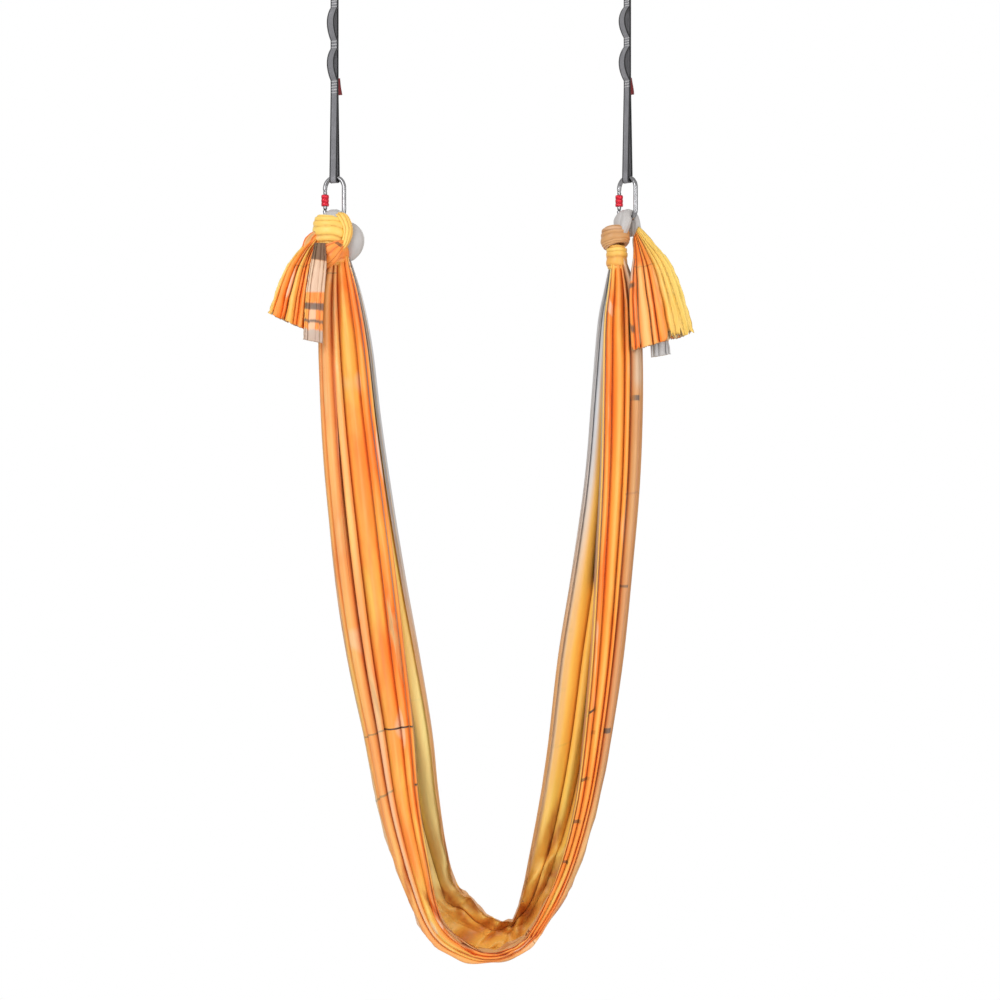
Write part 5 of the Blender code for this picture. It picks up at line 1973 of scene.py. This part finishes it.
@dataclass
class Strap:
    """Sewn webbing: an upper loop, two pockets, an end loop, bar tacks and a bare tab."""

    side: Side
    finishes: Finishes
    width: float = 0.019
    thick: float = 0.0018
    thread_gap: float = 0.00015
    pocket_depth: float = 0.018
    side_gap: float = 0.0006
    top_play: float = 0.003
    end_play: float = 0.0055
    top_loop: float = 0.101
    step: float = 0.0025
    bar_pitch: float = 0.0062
    bar_half: float = 0.0013
    bar_height: float = 0.0006
    bar_share: float = 0.84
    bar_sunk: float = 0.0002
    bar_waver: float = 0.0003
    tab_flat: float = 0.020
    tab_thick: float = 0.0009
    tab_wave: float = 0.0009

    @property
    def runs(self) -> tuple[tuple[str, float], ...]:
        """The tacks and pockets below the upper loop, with their lengths."""
        if self.side is Side.LEFT:
            lengths = (0.0185, 0.0736, 0.0207, 0.0713, 0.0322)
        else:
            lengths = (0.0161, 0.0690, 0.0230, 0.0759, 0.0184)
        return tuple(zip(("tack", "pocket", "tack", "pocket", "tack"), lengths))

    @property
    def loop_offset(self) -> float:
        """From the bar's middle to the middle of the webbing round it."""
        return SIZES.bar_radius + self.side_gap + self.thick / 2

    def front(self, down: float) -> float:
        """Return how far the front layer's middle stands forward at a depth down."""
        sewn = self.thread_gap + self.thick / 2
        if down < self.top_loop:
            share = (ease(down, 0.0, self.top_loop) + down / self.top_loop) / 2
            return mix(self.loop_offset, sewn, share)
        start = self.top_loop
        for kind, length in self.runs:
            if down < start + length:
                if kind == "tack":
                    return sewn
                return sewn + self.pocket_depth * sin(pi * (down - start) / length) ** 0.8
            start += length
        return mix(sewn, self.loop_offset, min((down - start) / (SIZES.strap_reach - start), 1.0))

    def rear(self, down: float) -> float:
        """Return where the rear layer's middle is at a depth down."""
        sewn = self.thread_gap + self.thick / 2
        last = self.top_loop + sum(length for _, length in self.runs)
        if down < self.top_loop:
            return -mix(self.loop_offset, sewn, down / self.top_loop)
        if down < last:
            return -sewn
        return -mix(sewn, self.loop_offset, min((down - last) / (SIZES.strap_reach - last), 1.0))

    def spot(self, across: float, forward: float, down: float) -> Vector:
        """Return a point of the strap, which turns from its upper bar to its lower one."""
        share = min(max(down / self.top_loop, 0.0), 1.0)
        angle = radians(90 + (TURNS[self.side] - 90) * share)
        x = across * cos(angle) - forward * sin(angle)
        y = -across * sin(angle) - forward * cos(angle)
        return Vector((self.side.anchor + x, y, SIZES.strap_top_z - down))

    def path(self) -> list[Pair]:
        """Return the webbing's line, as forward and down, round the whole strap and back."""
        count = round(SIZES.strap_reach / self.step)
        depths = [SIZES.strap_reach * index / count for index in range(count + 1)]
        front = [(self.front(down), down) for down in depths]
        rear = [(self.rear(down), down) for down in reversed(depths)]
        low = arc((0.0, SIZES.strap_reach + self.end_play), self.loop_offset, 0.0)
        high = arc((0.0, -self.top_play), self.loop_offset, 180.0)
        return [*front, *low[1:-1], *rear, *high[1:-1], front[0]]

    def piece(self, name: str, slot: str, bm: Shape, material: Material, *nodes: str) -> Object:
        """Place a piece that rides on the strap and stands for some of the side's nodes."""
        side = self.side.value
        stands_for = tuple(f"{node}_{side}" for node in nodes)
        return Piece(f"{name}_{side}", f"strap_{side}", slot, stands_for).place(bm, [material])

    def webbing(self) -> None:
        """Build the webbing."""
        line = self.path()
        reach = [0.0]
        for first, second in zip(line, line[1:]):
            reach.append(reach[-1] + dist(first, second))

        def rule(u: float, v: float) -> Vector:
            """Lay one point of the webbing."""
            forward, down = line[round(v * (len(line) - 1))]
            return self.spot((u - 0.5) * self.width, forward, down)

        bm = laid_grid(8, len(line) - 1, rule, (self.width, reach[-1]))
        obj = self.piece("webbing", "grey_webbing", face_out(bm), self.finishes.webbing, "strap")
        thicken(obj, self.thick, 0.0)

    def tacks(self) -> None:
        """Build the bar tacks: ridges of close stitches across the sewn places, front and rear."""
        bm = bmesh.new()
        layer = bm.loops.layers.uv.new("UVMap")
        start = self.top_loop
        for kind, length in self.runs:
            if kind == "tack":
                bars = max(round(length / self.bar_pitch), 2)
                for index in range(bars):
                    down = start + length * (index + 0.5) / bars
                    for face in (1, -1):
                        self.bar(bm, layer, down, face)
            start += length
        self.piece("bar_tacks", "grey_webbing", bm, self.finishes.thread)

    def bar(self, bm: Shape, layer: bmesh.types.BMLayerItem, down: float, face: int) -> None:
        """Add one bar tack on the front layer or the rear one."""
        made = bmesh.ops.create_grid(bm, x_segments=44, y_segments=6, size=0.5)["verts"]
        base = self.thread_gap + self.thick
        span = self.width * self.bar_share
        faces = {found for vert in made for found in vert.link_faces}
        for found in faces:
            for loop in found.loops:
                loop[layer].uv = ((loop.vert.co.x + 0.5) * span, (loop.vert.co.y + 0.5) * 2 * self.bar_half)
        for vert in made:
            u, v = vert.co.x * 2, vert.co.y * 2
            dome = (1 - abs(u) ** 6) * (1 - v * v)
            stitch = 0.78 + 0.22 * sin(u * 40 + v * 2.0)
            lift = base - self.bar_sunk + self.bar_height * dome * stitch
            waver = self.bar_waver * wander(down * 40, u, 2.0)
            vert.co = self.spot(u * span / 2, face * lift, down + v * self.bar_half + waver)
        if face < 0:
            bmesh.ops.reverse_faces(bm, faces=list(faces))

    def tab(self) -> None:
        """Build the bare tab that is sewn into the lowest tack."""
        top, bottom, height, lift = 0.004, 0.010, 0.039, 0.003
        sewn = self.top_loop + sum(length for _, length in self.runs[:-1]) - lift
        inner = self.width / 2 + SIZES.clearance

        def rule(u: float, v: float) -> Vector:
            """Lay one point of the tab, slightly waved."""
            wave = self.tab_wave * sin(v * 5.0 + self.side.sign) * u
            return self.spot(inner + u * mix(top, bottom, v), wave, sewn + v * height)

        bm = laid_grid(10, 26, rule, (self.tab_flat, height))
        obj = self.piece("tab", "label_cloth", bm, self.finishes.label, "label_tab")
        thicken(obj, self.tab_thick, 0.0)

    def build(self) -> None:
        """Build the strap's pieces."""
        self.webbing()
        self.tacks()
        self.tab()


# Studio


@dataclass
class Studio:
    """Camera, soft light, pale floor and white surround."""

    distance: float = 4.5
    aim: Triple = (0.0437, 0.0, -1.38)
    view_width: float = 2.3
    sensor: float = 36.0
    floor_drop: float = 2.86
    floor_size: float = 14.0

    def build(self) -> None:
        """Set up the scene round the object."""
        self.camera()
        self.floor()
        self.surround()
        self.lamps()
        bpy.context.scene.view_settings.view_transform = "Standard"

    def camera(self) -> None:
        """Place the camera level with the middle of the view."""
        data = bpy.data.cameras.new("camera")
        data.sensor_width = self.sensor
        data.lens = self.sensor * self.distance / self.view_width
        data.clip_end = 60.0
        camera = linked("camera", data)
        camera.location = (self.aim[0], -self.distance, self.aim[2])
        camera.rotation_euler = (pi / 2, 0.0, 0.0)
        bpy.context.scene.camera = camera

    def floor(self) -> None:
        """Lay the floor, which turns to plain white away from the object."""
        bm = bmesh.new()
        bmesh.ops.create_grid(bm, x_segments=8, y_segments=8, size=self.floor_size / 2)
        floor = linked("floor", as_mesh(shifted(bm, (0, 0, -self.floor_drop)), "floor"))
        recipe = Recipe("floor_white")
        recipe.set(Base_Color=(0.82, 0.82, 0.82), Roughness=0.8)
        glow = recipe.node("Emission", values={"Color": (1, 1, 1), "Strength": 1.0})
        x, y, _ = recipe.parts(recipe.place())
        away = ((x * x + y * y) ** 0.5).step(0.7, 1.35)
        seen = recipe.node("LightPath", out="Is Camera Ray")
        plain = Value(recipe.shader.outputs[0])
        mixed = recipe.node("MixShader", values={0: away * seen, 1: plain, 2: glow})
        output = recipe.tree.nodes["Material Output"]
        recipe.tree.links.new(mixed.socket, output.inputs["Surface"])
        floor.data.materials.append(recipe.material)

    @staticmethod
    def surround() -> None:
        """Fill the world with soft light, which the camera sees as white."""
        world = bpy.data.worlds.new("surround")
        bpy.context.scene.world = world
        world.use_nodes = True
        tree = world.node_tree
        lit = tree.nodes["Background"]
        lit.inputs["Color"].default_value = (1.0, 0.99, 0.98, 1.0)
        lit.inputs["Strength"].default_value = 0.70
        white = tree.nodes.new("ShaderNodeBackground")
        white.inputs["Color"].default_value = (1, 1, 1, 1)
        white.inputs["Strength"].default_value = 1.0
        path = tree.nodes.new("ShaderNodeLightPath")
        both = tree.nodes.new("ShaderNodeMixShader")
        outputs = (path.outputs["Is Camera Ray"], lit.outputs[0], white.outputs[0])
        for socket, output in zip(both.inputs, outputs):
            tree.links.new(output, socket)
        tree.links.new(both.outputs[0], tree.nodes["World Output"].inputs["Surface"])

    @staticmethod
    def lamps() -> None:
        """Hang two soft panels at the front and one behind."""
        panels = (
            ("key", (-1.9, -2.6, 0.1), 42.0, 1.5),
            ("fill", (1.7, -2.6, -0.9), 31.0, 1.8),
            ("back", (0.9, 2.4, 0.2), 14.0, 1.5),
        )
        target = Vector((0.0, 0.0, -1.3))
        for name, place, power, size in panels:
            data = bpy.data.lights.new(name, "AREA")
            data.energy = power
            data.size = size
            lamp = linked(name, data)
            lamp.location = place
            lamp.rotation_euler = (target - Vector(place)).to_track_quat("-Z", "Y").to_euler()


def main() -> None:
    """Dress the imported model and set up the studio."""
    logging.basicConfig(level=logging.INFO, format="%(message)s")
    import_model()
    Studio().build()
    finishes = Finishes()
    turns = []
    for side in Side:
        CeilingMount(side, finishes).build()
        for level in Level:
            Carabiner(side, level, finishes).build()
        Strap(side, finishes).build()
        turns += Knot(side, finishes).build()
    Sling(finishes).build(turns)


if __name__ == "__main__":
    main()
